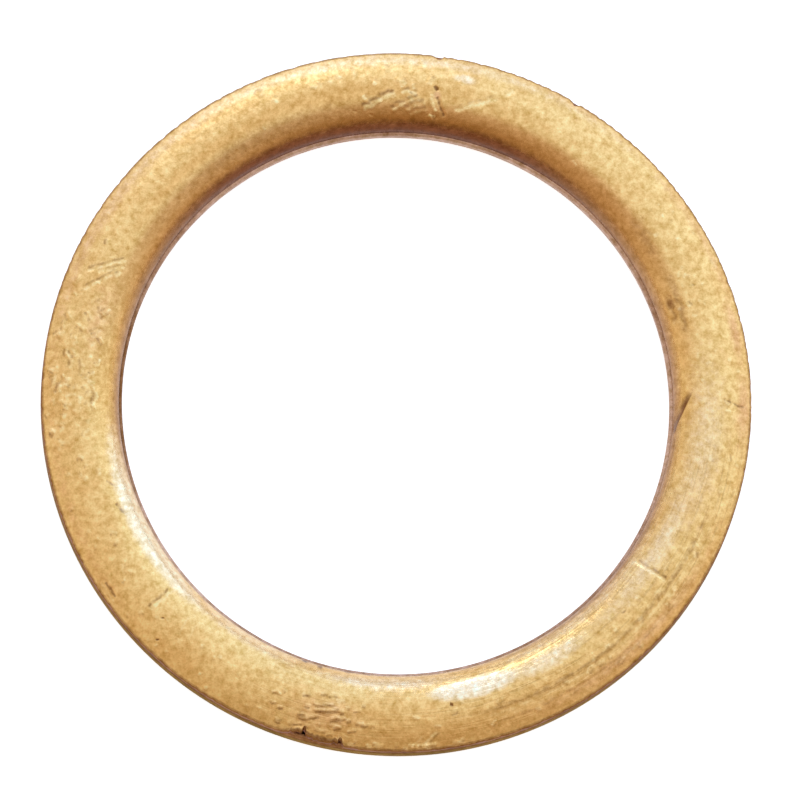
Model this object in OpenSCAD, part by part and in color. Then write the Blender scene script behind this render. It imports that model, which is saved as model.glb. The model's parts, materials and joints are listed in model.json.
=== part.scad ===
// Crush sealing ring for a flanged pipe joint.
// One strip of thin copper sheet is folded round into a hollow ring. The sheet starts at the
// rim's cut edge, runs over the crown, down the bore, across the flat face and up the outer
// wall, and ends just under the rim it started from, with an open seam between the two.
// The ring lies on its flat face with its crown up. The origin is the centre of that face.

/* [Bore and width] */
// Diameter of the bore, at the straight land pressed on the mandrel
bore_d = 30; // [20:0.5:60]
// Width of the section, from the bore's land to the outer wall
section_w = 4.45; // [4:0.05:6]

/* [Sheet] */
// Thickness of the copper sheet
sheet_t = 0.3; // [0.2:0.05:0.35]
// Outside radius of the two folds beside the flat face
fold_r = 0.4; // [0.36:0.02:0.7]

/* [Bore land] */
// Height of the straight land in the bore
land_h = 0.95; // [0.8:0.05:1.2]
// How far the crown's foot stands back from the land
land_step = 0.16; // [0.05:0.01:0.3]
// Height of the crease between the land and the crown's foot
crease_h = 0.1; // [0.05:0.01:0.2]

/* [Crown] */
// Height of the crown's highest line over the flat face
crown_h = 2.65; // [2.5:0.05:3]
// Distance of that line from the bore
crown_in = 2.1; // [1.9:0.05:2.3]
// Radius of the crown's flatter inner side, before it turns down into the bore
crown_arc_r = 3; // [2.6:0.1:6]

/* [Rim and seam] */
// Height of the rim's top edge
rim_h = 1.9; // [1.7:0.05:2.1]
// Depth of the chamfer that breaks the rim's top edge
rim_break = 0.08; // [0.04:0.01:0.12]
// Slope of that chamfer, from the upright
rim_break_a = 30; // [20:1:40]
// Gap of the open seam between the rim and the wall under it
seam_gap = 0.1; // [0.05:0.01:0.2]

/* [Torn rim] */
// Direction of the tear's middle, counted from +X
tear_a = 256.6; // [0:0.2:360]
// Length of the tear along the rim
tear_len = 3.9; // [1:0.1:8]
// Greatest depth of the tear, from the rim inwards
tear_depth = 0.6; // [0.2:0.05:0.9]

/* [Nicks in the rim] */
// Directions of the two nicks' middles, counted from +X
nick_a = [59.7, 83.2]; // [0:0.1:360]
// Length of each nick along the rim
nick_len = 0.66; // [0.4:0.02:1.2]
// Greatest depth of the nicks, from the rim inwards
nick_depth = 0.14; // [0.05:0.01:0.25]

/* [Scored groove] */
// Direction in which the groove round the crown starts, counted from +X
groove_a = 281.5; // [0:0.5:360]
// Angle that it runs through
groove_span = 60.5; // [5:0.5:180]
// Distance of its middle from the outer wall
groove_in = 1.2; // [0.8:0.05:2]
// Width of the groove
groove_w = 0.3; // [0.15:0.01:0.5]
// Depth of the groove
groove_depth = 0.05; // [0.02:0.01:0.1]

/* [Dent in the shoulder] */
// Direction in which the dent starts, counted from +X
dent_a = 16.4; // [0:0.2:360]
// Angle that it runs through
dent_span = 5; // [2:0.5:20]
// Distance of its middle from the bore
dent_in = 0.92; // [0.6:0.02:1.1]
// Width of the dent
dent_w = 0.5; // [0.3:0.02:0.6]
// Depth of the dent
dent_depth = 0.05; // [0.02:0.01:0.1]

/* [Hidden] */

// Smoothness of the circles
$fn = 96;
// Reach of a cutting shape past what it cuts
past = 1;
// Step that worked-out radii are rounded up to, so that arcs which meet cross cleanly
micron = 0.001;

bore_r = bore_d / 2;
outer_r = bore_r + section_w;
foot_r = bore_r + land_step;
foot_h = land_h + crease_h;
apex_r = bore_r + crown_in;

// The crown's outer side is one arc from its highest line to the rim
rim_run = outer_r - apex_r;
rim_drop = crown_h - rim_h;
rim_arc_r = ceil((pow(rim_run, 2) + pow(rim_drop, 2)) / (2 * rim_drop) / micron) * micron;
rim_arc_c = [apex_r, crown_h - rim_arc_r];

// The inner shoulder is the arc that leaves the crown's inner arc and stands upright at the foot
crown_arc_c = [apex_r, crown_h - crown_arc_r];
shoulder_run = apex_r - foot_r;
shoulder_rise = foot_h - crown_arc_c.y;
shoulder_fit = (pow(crown_arc_r, 2) - pow(shoulder_run, 2) - pow(shoulder_rise, 2))
    / (2 * (crown_arc_r - shoulder_run));
shoulder_r = (ceil(shoulder_fit / micron) + 1) * micron;
shoulder_c = [foot_r + shoulder_r, foot_h];
shoulder_a = atan2(shoulder_rise, shoulder_c.x - apex_r);

// The tear's ragged edge: share of its length, and share of its depth there
TEAR_EDGE = [
    [0.06, 0.2], [0.12, 0.26], [0.2, 0.47], [0.31, 0.75], [0.33, 1], [0.37, 0.4],
    [0.43, 0.25], [0.57, 0.2], [0.68, 0.22], [0.79, 0.34], [0.86, 0.6], [0.92, 0.22]
];
// The same for a nick, which is steep at its start and runs out at its end
NICK_EDGE = [[0.08, 0.75], [0.35, 1], [0.7, 0.5]];

function polar(r, a) = [r * cos(a), r * sin(a)];

// The point of the section that lies over an arc at ring radius r, lifted off the arc
function over_arc(arc_c, arc_r, r, lift) =
    arc_c + polar(arc_r + lift, acos((r - arc_c.x) / arc_r));

// Region inside the two walls and above the flat face, with its two folds
module between_walls(inset) {
    low_r = bore_r + inset;
    high_r = outer_r - inset;
    translate([low_r, fold_r]) square([high_r - low_r, crown_h]);
    translate([bore_r + fold_r, inset]) square([section_w - 2 * fold_r, fold_r]);
    for (r = [bore_r + fold_r, outer_r - fold_r])
        translate([r, fold_r]) circle(r = fold_r - inset);
}

// Region under the crown's inner side, down the shoulder, the crease and the land
module inner_side(inset) {
    intersection() {
        translate(crown_arc_c) circle(r = crown_arc_r - inset);
        union() {
            translate(shoulder_c) circle(r = shoulder_r - inset);
            polygon([
                shoulder_c,
                crown_arc_c + polar(crown_arc_r + past, shoulder_a),
                [apex_r, crown_h + past],
                [apex_r, foot_h]
            ]);
        }
    }
    polygon([
        [bore_r + inset, 0],
        [bore_r + inset, land_h],
        [foot_r + inset, foot_h],
        [apex_r, foot_h],
        [apex_r, 0]
    ]);
}

// Region under the crown's outer side, which falls to the rim
module outer_side(inset) {
    translate(rim_arc_c)
        intersection() {
            union() {
                circle(r = rim_arc_r - inset);
                translate([0, -crown_h]) square([rim_arc_r - inset, crown_h]);
            }
            translate([0, -crown_h]) square([rim_arc_r, rim_arc_r + crown_h]);
        }
}

// The folded section's outline, drawn in by inset all round
module outline(inset) {
    intersection() {
        between_walls(inset);
        union() {
            inner_side(inset);
            outer_side(inset);
        }
    }
}

// The open seam between the rim and the top of the outer wall
module seam() {
    difference() {
        intersection() {
            outer_side(sheet_t);
            translate([outer_r - 2 * sheet_t, 0]) square([section_w, crown_h]);
        }
        outer_side(sheet_t + seam_gap);
    }
}

// The corner that the chamfer takes off the rim's top edge
module rim_corner() {
    translate([outer_r, rim_h - rim_break])
        rotate(rim_break_a)
        translate([0, -past])
        square([past, 2 * past]);
}

module sheet_section() {
    difference() {
        outline(0);
        outline(sheet_t);
        seam();
        rim_corner();
    }
}

// The ring that the crown's sheet fills beside the rim, which a cut in the rim stays within
module rim_zone() {
    rotate_extrude()
        difference() {
            translate([apex_r, 0]) square([section_w, crown_h + past]);
            outer_side(sheet_t + seam_gap / 2);
        }
}

// Outline of a piece torn out of the rim, whose ragged edge goes through the given shares
module bite(mid_a, length, depth, edge) {
    span = length / outer_r * 180 / PI;
    start = mid_a - span / 2;
    torn = [for (p = edge) polar(outer_r - p[1] * depth, start + p[0] * span)];
    clear = [polar(outer_r + past, start + span), polar(outer_r + past, start)];
    polygon(concat(torn, clear));
}

// What is torn out of the rim, which leaves the wall under the seam whole
module torn_rim() {
    intersection() {
        linear_extrude(crown_h + past) {
            bite(tear_a, tear_len, tear_depth, TEAR_EDGE);
            for (a = nick_a) bite(a, nick_len, nick_depth, NICK_EDGE);
        }
        rim_zone();
    }
}

// A trough round part of the ring, pressed into an arc of the section at ring radius r
module trough(arc_c, arc_r, r, start_a, span, width, depth) {
    tool_r = (pow(width / 2, 2) + pow(depth, 2)) / (2 * depth);
    rotate([0, 0, start_a])
        rotate_extrude(angle = span)
        translate(over_arc(arc_c, arc_r, r, tool_r - depth))
        circle(r = tool_r);
}

module scored_groove() {
    trough(rim_arc_c, rim_arc_r, outer_r - groove_in, groove_a, groove_span, groove_w, groove_depth);
}

module shoulder_dent() {
    trough(shoulder_c, shoulder_r, bore_r + dent_in, dent_a, dent_span, dent_w, dent_depth);
}

module ring() {
    color([0.82, 0.58, 0.34])
        difference() {
            rotate_extrude() sheet_section();
            torn_rim();
            scored_groove();
            shoulder_dent();
        }
}

ring();
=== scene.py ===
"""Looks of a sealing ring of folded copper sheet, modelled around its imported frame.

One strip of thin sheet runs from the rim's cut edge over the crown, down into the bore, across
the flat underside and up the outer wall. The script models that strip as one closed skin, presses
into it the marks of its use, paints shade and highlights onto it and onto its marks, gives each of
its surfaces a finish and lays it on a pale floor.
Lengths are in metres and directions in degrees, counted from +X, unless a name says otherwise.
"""

import json
import logging
import math
from dataclasses import dataclass, field
from enum import Enum

import bpy
import numpy as np
from mathutils import Matrix, Vector, noise


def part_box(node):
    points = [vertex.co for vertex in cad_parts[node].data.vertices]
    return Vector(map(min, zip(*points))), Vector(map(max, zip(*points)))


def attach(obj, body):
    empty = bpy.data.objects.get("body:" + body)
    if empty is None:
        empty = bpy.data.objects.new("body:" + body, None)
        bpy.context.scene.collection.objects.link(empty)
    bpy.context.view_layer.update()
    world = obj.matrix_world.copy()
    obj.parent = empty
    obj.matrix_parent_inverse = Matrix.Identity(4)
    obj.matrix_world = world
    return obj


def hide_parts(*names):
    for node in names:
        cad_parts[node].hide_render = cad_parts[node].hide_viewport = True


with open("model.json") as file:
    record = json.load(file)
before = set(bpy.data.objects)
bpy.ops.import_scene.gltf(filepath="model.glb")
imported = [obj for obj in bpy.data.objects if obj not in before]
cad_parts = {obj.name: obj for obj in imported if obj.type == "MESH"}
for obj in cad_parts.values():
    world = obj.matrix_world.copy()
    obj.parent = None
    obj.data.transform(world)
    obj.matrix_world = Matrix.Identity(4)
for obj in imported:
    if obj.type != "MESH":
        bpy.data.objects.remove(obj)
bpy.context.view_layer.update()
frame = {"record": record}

LOG = logging.getLogger("sealing_ring")
MM = 0.001
FULL_TURN = 360.0
RING_NODE = "ring"

# Points of the section nearer to each other than this are one point
LEAST_STEP = 0.002 * MM
# Vertices of the mesh nearer to each other than this are one, or lie on one circle
SAME_PLACE = 0.001 * MM
# Smallest length that a length is divided by
TINY = 1e-12

Point = tuple[float, float]
Triple = tuple[float, float, float]
Colour = tuple[float, float, float, float]
Socket = bpy.types.NodeSocket
Outputs = bpy.types.NodeOutputs

WHITE: Colour = (1.0, 1.0, 1.0, 1.0)


def smooth_step(low: float, high: float, values: np.ndarray) -> np.ndarray:
    """Rise smoothly from 0 to 1 between two values.

    Args:
        low: Where the rise starts. It may be above high, and then the result falls.
        high: Where the rise ends.
        values: The values to map.

    Returns:
        The mapped values, from 0 to 1.
    """
    share = np.clip((values - low) / (high - low), 0.0, 1.0)
    return share * share * (3.0 - 2.0 * share)


def bell(distance: np.ndarray, width: float) -> np.ndarray:
    """Return a bell curve that is 1 at no distance and about a third at one width."""
    return np.exp(-((distance / width) ** 2))


def short_way(turn: np.ndarray) -> np.ndarray:
    """Bring angles in degrees to between -180 and 180."""
    return (turn + FULL_TURN / 2) % FULL_TURN - FULL_TURN / 2


def wander(place: np.ndarray, size: float, seed: int) -> np.ndarray:
    """Make a smooth random pattern out of a few waves.

    Args:
        place: One row of coordinates for each place, in metres.
        size: Rough length of the pattern's waves, in metres.
        seed: Seed that the waves' directions and phases come from.

    Returns:
        The pattern at each place, mostly between -1 and 1.
    """
    waves = 7
    rates = (0.6, 1.6)
    usual_sum = 3.0
    dice = np.random.default_rng(seed)
    total = np.zeros(len(place))
    for _ in range(waves):
        turn = dice.normal(size=place.shape[1])
        turn *= dice.uniform(*rates) * 2 * math.pi / (size * np.linalg.norm(turn))
        total += np.sin(place @ turn + dice.uniform(0, 2 * math.pi))
    return total / usual_sum


def deselect_all() -> None:
    """Leave no object selected, so that an operator acts on the new piece alone."""
    for piece in bpy.context.selected_objects:
        piece.select_set(False)


# The section of the folded sheet


@dataclass(frozen=True)
class Arc:
    """An arc of the section, by its centre, its radius and its two ends' directions."""

    centre: Point
    radius: float
    start: float
    end: float

    def points(self, pitch: float) -> list[Point]:
        """Place points along the arc.

        Args:
            pitch: Distance between two points, which is rounded to fill the arc.

        Returns:
            The points, from the start to the end.
        """
        length = abs(math.radians(self.end - self.start)) * self.radius
        steps = max(2, round(length / pitch))
        turns = [math.radians(a) for a in np.linspace(self.start, self.end, steps + 1)]
        return [
            (self.centre[0] + self.radius * math.cos(a), self.centre[1] + self.radius * math.sin(a))
            for a in turns
        ]


def line_points(start: Point, end: Point, pitch: float) -> list[Point]:
    """Place points along a straight stretch of the section.

    Args:
        start: The stretch's first point.
        end: Its last point.
        pitch: Distance between two points, which is rounded to fill the stretch.

    Returns:
        The points, from the start to the end.
    """
    steps = max(1, round(math.dist(start, end) / pitch))
    return [
        (start[0] + (end[0] - start[0]) * i / steps, start[1] + (end[1] - start[1]) * i / steps)
        for i in range(steps + 1)
    ]


@dataclass(frozen=True)
class SheetSection:
    """The section of the ring: radius and height of the sheet's two skins, drawn in one loop.

    The two pitches are the distances between its points, on the skin that the eye meets and on
    the skin inside. The other sizes are those of the CAD model.
    """

    bore_r: float
    outer_r: float
    crown_h: float
    sheet_t: float = 0.3 * MM
    fold_r: float = 0.4 * MM
    land_h: float = 0.95 * MM
    land_step: float = 0.16 * MM
    crease_h: float = 0.1 * MM
    crown_in: float = 2.1 * MM
    crown_arc_r: float = 3.0 * MM
    rim_h: float = 1.9 * MM
    rim_break: float = 0.08 * MM
    seam_gap: float = 0.1 * MM
    fine_pitch: float = 0.125 * MM
    coarse_pitch: float = 0.32 * MM

    @property
    def apex_r(self) -> float:
        """Radius of the crown's highest line."""
        return self.bore_r + self.crown_in

    @property
    def foot(self) -> Point:
        """Foot of the shoulder, at the top of the crease."""
        return self.bore_r + self.land_step, self.land_h + self.crease_h

    @property
    def rim_arc_r(self) -> float:
        """Radius of the one arc from the crown's highest line to the rim."""
        run, drop = self.outer_r - self.apex_r, self.crown_h - self.rim_h
        return (run**2 + drop**2) / (2 * drop)

    @property
    def shoulder_r(self) -> float:
        """Radius of the shoulder's arc.

        Returns:
            The radius with which the arc leaves the crown's inner arc and ends upright.
        """
        run = self.apex_r - self.foot[0]
        rise = self.foot[1] - (self.crown_h - self.crown_arc_r)
        return (self.crown_arc_r**2 - run**2 - rise**2) / (2 * (self.crown_arc_r - run))

    def rim_height(self, inset: float) -> float:
        """Height of the crown's skin where it meets the outer radius.

        Args:
            inset: Depth below the crown's outside, zero for the outside itself.

        Returns:
            The height of that skin at the outer radius.
        """
        radius = self.rim_arc_r - inset
        run = self.outer_r - self.apex_r
        return self.crown_h - self.rim_arc_r + math.sqrt(radius**2 - run**2)

    def crown_side(self, inset: float, outer: float, pitch: float) -> list[Point]:
        """Draw one skin from the rim over the crown to the shoulder's foot.

        Args:
            inset: Depth of the skin below the outside.
            outer: Radius at which the skin starts.
            pitch: Distance between two points.

        Returns:
            The points of the skin, from the rim to the foot.
        """
        rim_centre = (self.apex_r, self.crown_h - self.rim_arc_r)
        crown_centre = (self.apex_r, self.crown_h - self.crown_arc_r)
        shoulder_centre = (self.foot[0] + self.shoulder_r, self.foot[1])
        rim_a = math.degrees(math.acos((outer - self.apex_r) / (self.rim_arc_r - inset)))
        turn_a = math.degrees(
            math.atan2(shoulder_centre[1] - crown_centre[1], shoulder_centre[0] - crown_centre[0])
        )
        arcs = (
            Arc(rim_centre, self.rim_arc_r - inset, rim_a, 90),
            Arc(crown_centre, self.crown_arc_r - inset, 90, turn_a),
            Arc(shoulder_centre, self.shoulder_r - inset, turn_a, 180),
        )
        return [p for arc in arcs for p in arc.points(pitch)]

    def land_side(self, inset: float, pitch: float) -> list[Point]:
        """Draw one skin from the shoulder's foot down the bore's land to the flat underside.

        Args:
            inset: Depth of the skin below the outside.
            pitch: Distance between two points.

        Returns:
            The points of the skin, from the foot to the start of the flat.
        """
        foot = (self.foot[0] + inset, self.foot[1])
        land_top = (self.bore_r + inset, self.land_h)
        fold_centre = (self.bore_r + self.fold_r, self.fold_r)
        land_end = (self.bore_r + inset, self.fold_r)
        fold = Arc(fold_centre, self.fold_r - inset, 180, 270).points(pitch)
        return line_points(foot, land_top, pitch) + line_points(land_top, land_end, pitch) + fold

    def wall_side(self, inset: float, top: float, pitch: float) -> list[Point]:
        """Draw one skin from the flat underside up the outer wall to its top edge.

        Args:
            inset: Depth of the skin below the outside.
            top: Height at which the wall ends.
            pitch: Distance between two points.

        Returns:
            The points of the skin, from the end of the flat to the wall's top.
        """
        fold_centre = (self.outer_r - self.fold_r, self.fold_r)
        wall_r = self.outer_r - inset
        fold = Arc(fold_centre, self.fold_r - inset, 270, 360).points(pitch)
        return fold + line_points((wall_r, self.fold_r), (wall_r, top), pitch)

    def rim_edge(self) -> list[Point]:
        """Draw the rim's cut edge.

        Returns:
            The points of the edge, upright at first and then broken over onto the crown.
        """
        low = (self.outer_r, self.rim_height(self.sheet_t))
        high = (self.outer_r, self.rim_h - self.rim_break)
        corner = (self.outer_r, self.rim_h)
        end_r = self.outer_r - self.rim_break
        end_z = self.crown_h - self.rim_arc_r
        end_z += math.sqrt(self.rim_arc_r**2 - (end_r - self.apex_r) ** 2)
        ends = (high, corner, (end_r, end_z))
        steps = 4
        turn = []
        for i in range(1, steps):
            t = i / steps
            weights = ((1 - t) ** 2, 2 * t * (1 - t), t**2)
            turn.append(tuple(sum(w * p[k] for w, p in zip(weights, ends)) for k in (0, 1)))
        return line_points(low, high, self.fine_pitch) + turn

    def skins(self) -> dict[str, list[Point]]:
        """Draw every stretch of the loop, named, in the order in which they follow.

        Returns:
            The stretches by name: the crown's underside, the rim's edge, the outside from the
            crown to the outer wall, and the inside back to where the loop began.
        """
        t, fine, coarse = self.sheet_t, self.fine_pitch, self.coarse_pitch
        under = self.crown_side(t, self.outer_r, coarse)
        apex = next(i for i, p in enumerate(under) if p[0] <= self.apex_r + TINY)
        wall_top = self.wall_top(self.outer_r)
        inner_wall_top = self.wall_top(self.outer_r - t)
        return {
            "underside": under[: apex + 1][::-1],
            "rim edge": self.rim_edge(),
            "crown": self.crown_side(0.0, self.outer_r - self.rim_break, fine),
            "land": self.land_side(0.0, fine),
            "flat": line_points(
                (self.bore_r + self.fold_r, 0.0), (self.outer_r - self.fold_r, 0.0), 2 * coarse
            ),
            "wall": self.wall_side(0.0, wall_top, fine),
            "inside": self.wall_side(t, inner_wall_top, coarse)[::-1]
            + self.land_side(t, coarse)[::-1]
            + under[apex + 1 :][::-1],
        }

    def wall_top(self, radius: float) -> float:
        """Height of the outer wall's end face, which follows the open seam under the rim.

        Args:
            radius: Radius at which the face is asked for.

        Returns:
            Its height there.
        """
        arc_r = self.rim_arc_r - self.sheet_t - self.seam_gap
        return self.crown_h - self.rim_arc_r + math.sqrt(arc_r**2 - (radius - self.apex_r) ** 2)


@dataclass(frozen=True)
class Outline:
    """The section's loop as arrays, with the distance along the sheet at each of its points.

    The distance is zero at the lower edge of the rim's cut edge, grows over the crown, the bore
    and the underside, and is negative on the crown's underside.
    """

    radius: np.ndarray
    height: np.ndarray
    distance: np.ndarray
    stations: dict[str, tuple[float, float]]

    @classmethod
    def of(cls, section: SheetSection) -> "Outline":
        """Lay the section's stretches end to end.

        Args:
            section: The section to lay out.

        Returns:
            The outline, in which no two points that follow each other coincide.
        """
        loop: list[Point] = []
        spans: dict[str, tuple[int, int]] = {}
        for name, points in section.skins().items():
            first = len(loop)
            for p in points:
                if not loop or math.dist(loop[-1], p) > LEAST_STEP:
                    loop.append(p)
            spans[name] = (first, len(loop) - 1)
        r, z = np.array(loop).T
        steps = np.hypot(np.diff(r), np.diff(z))
        distance = np.concatenate([[0.0], np.cumsum(steps)])
        distance -= distance[spans["rim edge"][0]]
        stations = {n: (distance[a], distance[b]) for n, (a, b) in spans.items()}
        return cls(r, z, distance, stations)

    def along(self, radius: np.ndarray | float) -> np.ndarray:
        """Turn a radius on the crown into the distance along the sheet.

        Args:
            radius: Radii between the foot and the rim.

        Returns:
            The distances along the sheet at those radii.
        """
        low, high = self.stations["crown"]
        on_crown = (self.distance >= low) & (self.distance <= high)
        return np.interp(radius, self.radius[on_crown][::-1], self.distance[on_crown][::-1])

    def normal(self, distance: np.ndarray) -> np.ndarray:
        """Return the direction out of the sheet at distances along it.

        Args:
            distance: Distances along the sheet.

        Returns:
            One row for each distance: its share along the radius and its share upwards.
        """
        outward = np.gradient(self.height, self.distance)
        upward = -np.gradient(self.radius, self.distance)
        out = np.stack([np.interp(distance, self.distance, side) for side in (outward, upward)], axis=1)
        return out / np.linalg.norm(out, axis=1, keepdims=True)


# The marks that use has left, with the painted shade and highlights laid on them


class Form(Enum):
    """How a mark is shaped across its line."""

    # Its groove is rubbed metal with a painted highlight, and its dark side is painted shade
    SCRATCH = "a bright groove with a dark side and a low burr"
    CRACK = "a dark hair line"
    # Its facet is painted shade and its bright edge a painted highlight
    CREASE = "a smooth facet on the left of its line, under a sharp bright edge"
    DENT = "a soft round hollow"
    # Its bright line is a painted highlight and its dark side painted shade
    RIDGE = "a raised bright line with a dark side"


@dataclass(frozen=True)
class Unevenness:
    """A share that wanders from place to place.

    Swing is how far it strays from its usual value, size is the length over which it does, and
    seed says in which way.
    """

    swing: float
    size: float
    seed: int
    least: float
    greatest: float
    usual: float = 1.0

    def share(self, place: np.ndarray) -> np.ndarray:
        """Return the share at each place, the same one each time."""
        swung = self.usual + self.swing * wander(place, self.size, self.seed)
        return np.clip(swung, self.least, self.greatest)


BROKEN_LINE = Unevenness(0.4, 0.5 * MM, 5, 0.45, 1.0, usual=0.95)
RAGGED_EDGE = Unevenness(0.3, 0.3 * MM, 3, 0.6, 1.4)


@dataclass(frozen=True)
class Strip:
    """A strip beside a mark's line, by shares of the mark's width and of its strength."""

    middle: float
    width: float
    strength: float = 1.0

    def across(self, signed: np.ndarray, width: float) -> np.ndarray:
        """Return how strong the strip is at signed distances from the line of a mark."""
        return self.strength * bell(signed - self.middle * width, self.width * width)


BURR = Strip(1.8, 0.8, 0.45)
CREASE_EDGE = Strip(-0.2, 0.25, 0.2)
# Painted highlight along a crease's edge
CREASE_SHINE = Strip(-0.2, 0.2)
# Painted shade beside a mark's line, on its side away from the light
DARK_SIDE = Strip(-1.6, 1.1)
# Painted highlight along a mark's line, over its rubbed metal
BRIGHT_LINE = Strip(0.0, 1.1)


@dataclass(frozen=True)
class Mark:
    """A mark in the sheet, along a line of (direction in degrees, radius in millimetres).

    Width is half the mark's breadth and depth its greatest depth, both in millimetres. The two
    shares after them say how dark it is painted, as dirt and as painted shade on its side away from
    the light, and how bright, as rubbed metal with a painted highlight, from 0 to 1. Levels is how
    often the skin near it is divided again.
    """

    form: Form
    line: tuple[Point, ...]
    width: float
    depth: float
    dirt: float = 0.0
    rubbed: float = 0.0
    levels: int = 2

    def measure(self, place: "Places") -> tuple[np.ndarray, np.ndarray]:
        """Measure how far each place lies from the mark's line, which wanders a little.

        Args:
            place: The places on the sheet.

        Returns:
            The signed distance from the line, positive on its left, and the share of the
            line's length that has gone by there.
        """
        waver = 0.2 * self.width * MM
        waver_size = 0.8 * MM
        waver_reach = 1.0 * MM
        nearest = np.full(len(place), np.inf)
        signed = np.full(len(place), np.inf)
        share = np.zeros(len(place))
        corners = [place.flat(a, r * MM) for a, r in self.line]
        lengths = [np.linalg.norm(b - a) for a, b in zip(corners, corners[1:])]
        gone = 0.0
        for (a, b), length in zip(zip(corners, corners[1:]), lengths):
            along = (b - a) / max(length, TINY)
            offset = place.spread(a)
            t = np.clip(offset @ along, 0.0, length)
            gap = offset - t[:, None] * along
            reach = np.hypot(gap[:, 0], gap[:, 1])
            side = np.sign(along[0] * offset[:, 1] - along[1] * offset[:, 0])
            closer = reach < nearest
            nearest = np.where(closer, reach, nearest)
            signed = np.where(closer, reach * np.where(side == 0, 1, side), signed)
            share = np.where(closer, (gone + t) / max(sum(lengths), TINY), share)
            gone += length
        if self.form is not Form.CREASE:
            near = np.abs(signed) < waver_reach
            spot = place.spread(corners[0])[near]
            signed[near] += waver * wander(spot, waver_size, len(self.line))
        return signed, share

    def wholeness(self, place: "Places", near: np.ndarray) -> np.ndarray:
        """Return how whole the mark is, because a real one breaks up along its way.

        Args:
            place: The places on the sheet.
            near: Whether each of them is near the mark.

        Returns:
            A share for each place near the mark, 1 where the mark is whole.
        """
        if self.form is Form.CREASE:
            return np.ones(np.count_nonzero(near))
        first_a, first_r = self.line[0]
        return BROKEN_LINE.share(place.spread(place.flat(first_a, first_r * MM))[near])

    def fade(self, share: np.ndarray) -> np.ndarray:
        """Return how strong the mark is along its line, because it runs out at both ends.

        Args:
            share: Share of the line's length at each place.

        Returns:
            The strength at each place, from 0 to 1.
        """
        start = 0.12
        end = 0.45 if self.form is Form.CREASE else start
        return smooth_step(0.0, start, share) * smooth_step(1.0, 1.0 - end, share)

    def lift(self, signed: np.ndarray, share: np.ndarray) -> np.ndarray:
        """Return how far the mark lifts the sheet, negative where it presses it in.

        Args:
            signed: Signed distances from the line.
            share: Share of the line's length at each place.

        Returns:
            The lift at each place.
        """
        width, depth = self.width * MM, self.depth * MM
        fade = self.fade(share)
        if self.form in (Form.SCRATCH, Form.CRACK):
            return depth * fade * (BURR.across(signed, width) - bell(signed, width))
        if self.form is Form.CREASE:
            facet_end, facet_foot = 1.5 * width, 3.0 * width
            facet = smooth_step(0.0, width, signed) * smooth_step(facet_foot, facet_end, signed)
            return depth * fade * (CREASE_EDGE.across(signed, width) - facet)
        if self.form is Form.RIDGE:
            return depth * fade * bell(signed, width)
        return -depth * self.hollow(signed) ** 2

    def hollow(self, signed: np.ndarray) -> np.ndarray:
        """Return a round hollow's shape, which is 1 in its middle and 0 from its width on."""
        return np.clip(1.0 - (signed / (self.width * MM)) ** 2, 0.0, 1.0)

    def soil_and_light(self, signed: np.ndarray, share: np.ndarray) -> tuple[np.ndarray, np.ndarray]:
        """Return how dark and how bright the mark is painted: dirt and painted shade, rubbed metal and
        painted highlight.

        Args:
            signed: Signed distances from the line.
            share: Share of the line's length at each place.

        Returns:
            The darkening and the brightening at each place, about 0 to 1.
        """
        width = self.width * MM
        if self.form is Form.DENT:
            return self.dirt * self.hollow(signed), self.rubbed * self.hollow(signed)
        if self.form is Form.CRACK:
            dark, bright = bell(signed, width), np.zeros_like(signed)
        elif self.form is Form.CREASE:
            # Painted shade over the facet and a painted highlight on its edge
            start, full = -0.15 * width, 0.1 * width
            strength = 1.2 * smooth_step(start, full, signed)
            facet_foot = (3.0 - 1.6 * share) * width
            dark = strength * smooth_step(facet_foot, 0.0, signed)
            bright = CREASE_SHINE.across(signed, width)
        else:
            # Painted shade beside the line and a painted highlight along it
            dark, bright = DARK_SIDE.across(signed, width), BRIGHT_LINE.across(signed, width)
        fade = self.fade(share)
        return self.dirt * fade * dark, self.rubbed * fade * bright


class Tint(Enum):
    """Colours laid over the sheet's own, in order, as its attributes; they paint shade and highlights too."""

    # Warm tarnish, laid mostly as painted shade
    WARM = "warm"
    # Rubbed metal with painted highlights
    RUBBED = "rubbed"
    ROSY = "rosy"
    # Dirt and painted shade
    DIRT = "dirt"
    # Bare metal laid as painted highlights
    BARE = "bare"


@dataclass(frozen=True)
class TintPatch:
    """A patch of stain, of painted shade or of painted highlight: its middle and its reach, in degrees and in
    millimetres.

    Strength is that of its middle, from 0 to 1, and a greater crispness gives it a firmer edge.
    """

    tint: Tint
    middle: Point
    reach: Point
    strength: float
    crispness: float = 1.0

    def share(self, place: "Places") -> np.ndarray:
        """Return how strong the patch is at each place, from 0 to 1.

        Args:
            place: The places on the sheet.

        Returns:
            The strength at each place.
        """
        turn = short_way(place.direction - self.middle[0])
        middle = place.outline.along(self.middle[1] * MM)
        across = (place.distance - middle) / (self.reach[1] * MM)
        off = np.hypot(turn / self.reach[0], across)
        return self.strength * bell(off**self.crispness, 1.0)


@dataclass(frozen=True)
class TornEdge:
    """A stretch where the rim's edge is torn back: (direction in degrees, millimetres torn off).

    Reach is how far the skin beside it is drawn in, in millimetres past what is torn off, and
    degree_length is the length of one degree along the rim.
    """

    edge: tuple[Point, ...]
    reach: float = 0.45
    degree_length: float = 0.34 * MM

    def torn(self, direction: np.ndarray) -> np.ndarray:
        """Return how far the edge is torn back.

        Args:
            direction: Directions, in degrees.

        Returns:
            How far it is torn back there, in metres, with a ragged edge.
        """
        a, depth = np.array(self.edge).T
        torn = np.interp(direction, a, depth, left=0.0, right=0.0) * MM
        return torn * RAGGED_EDGE.share(direction[:, None] * self.degree_length)


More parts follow.
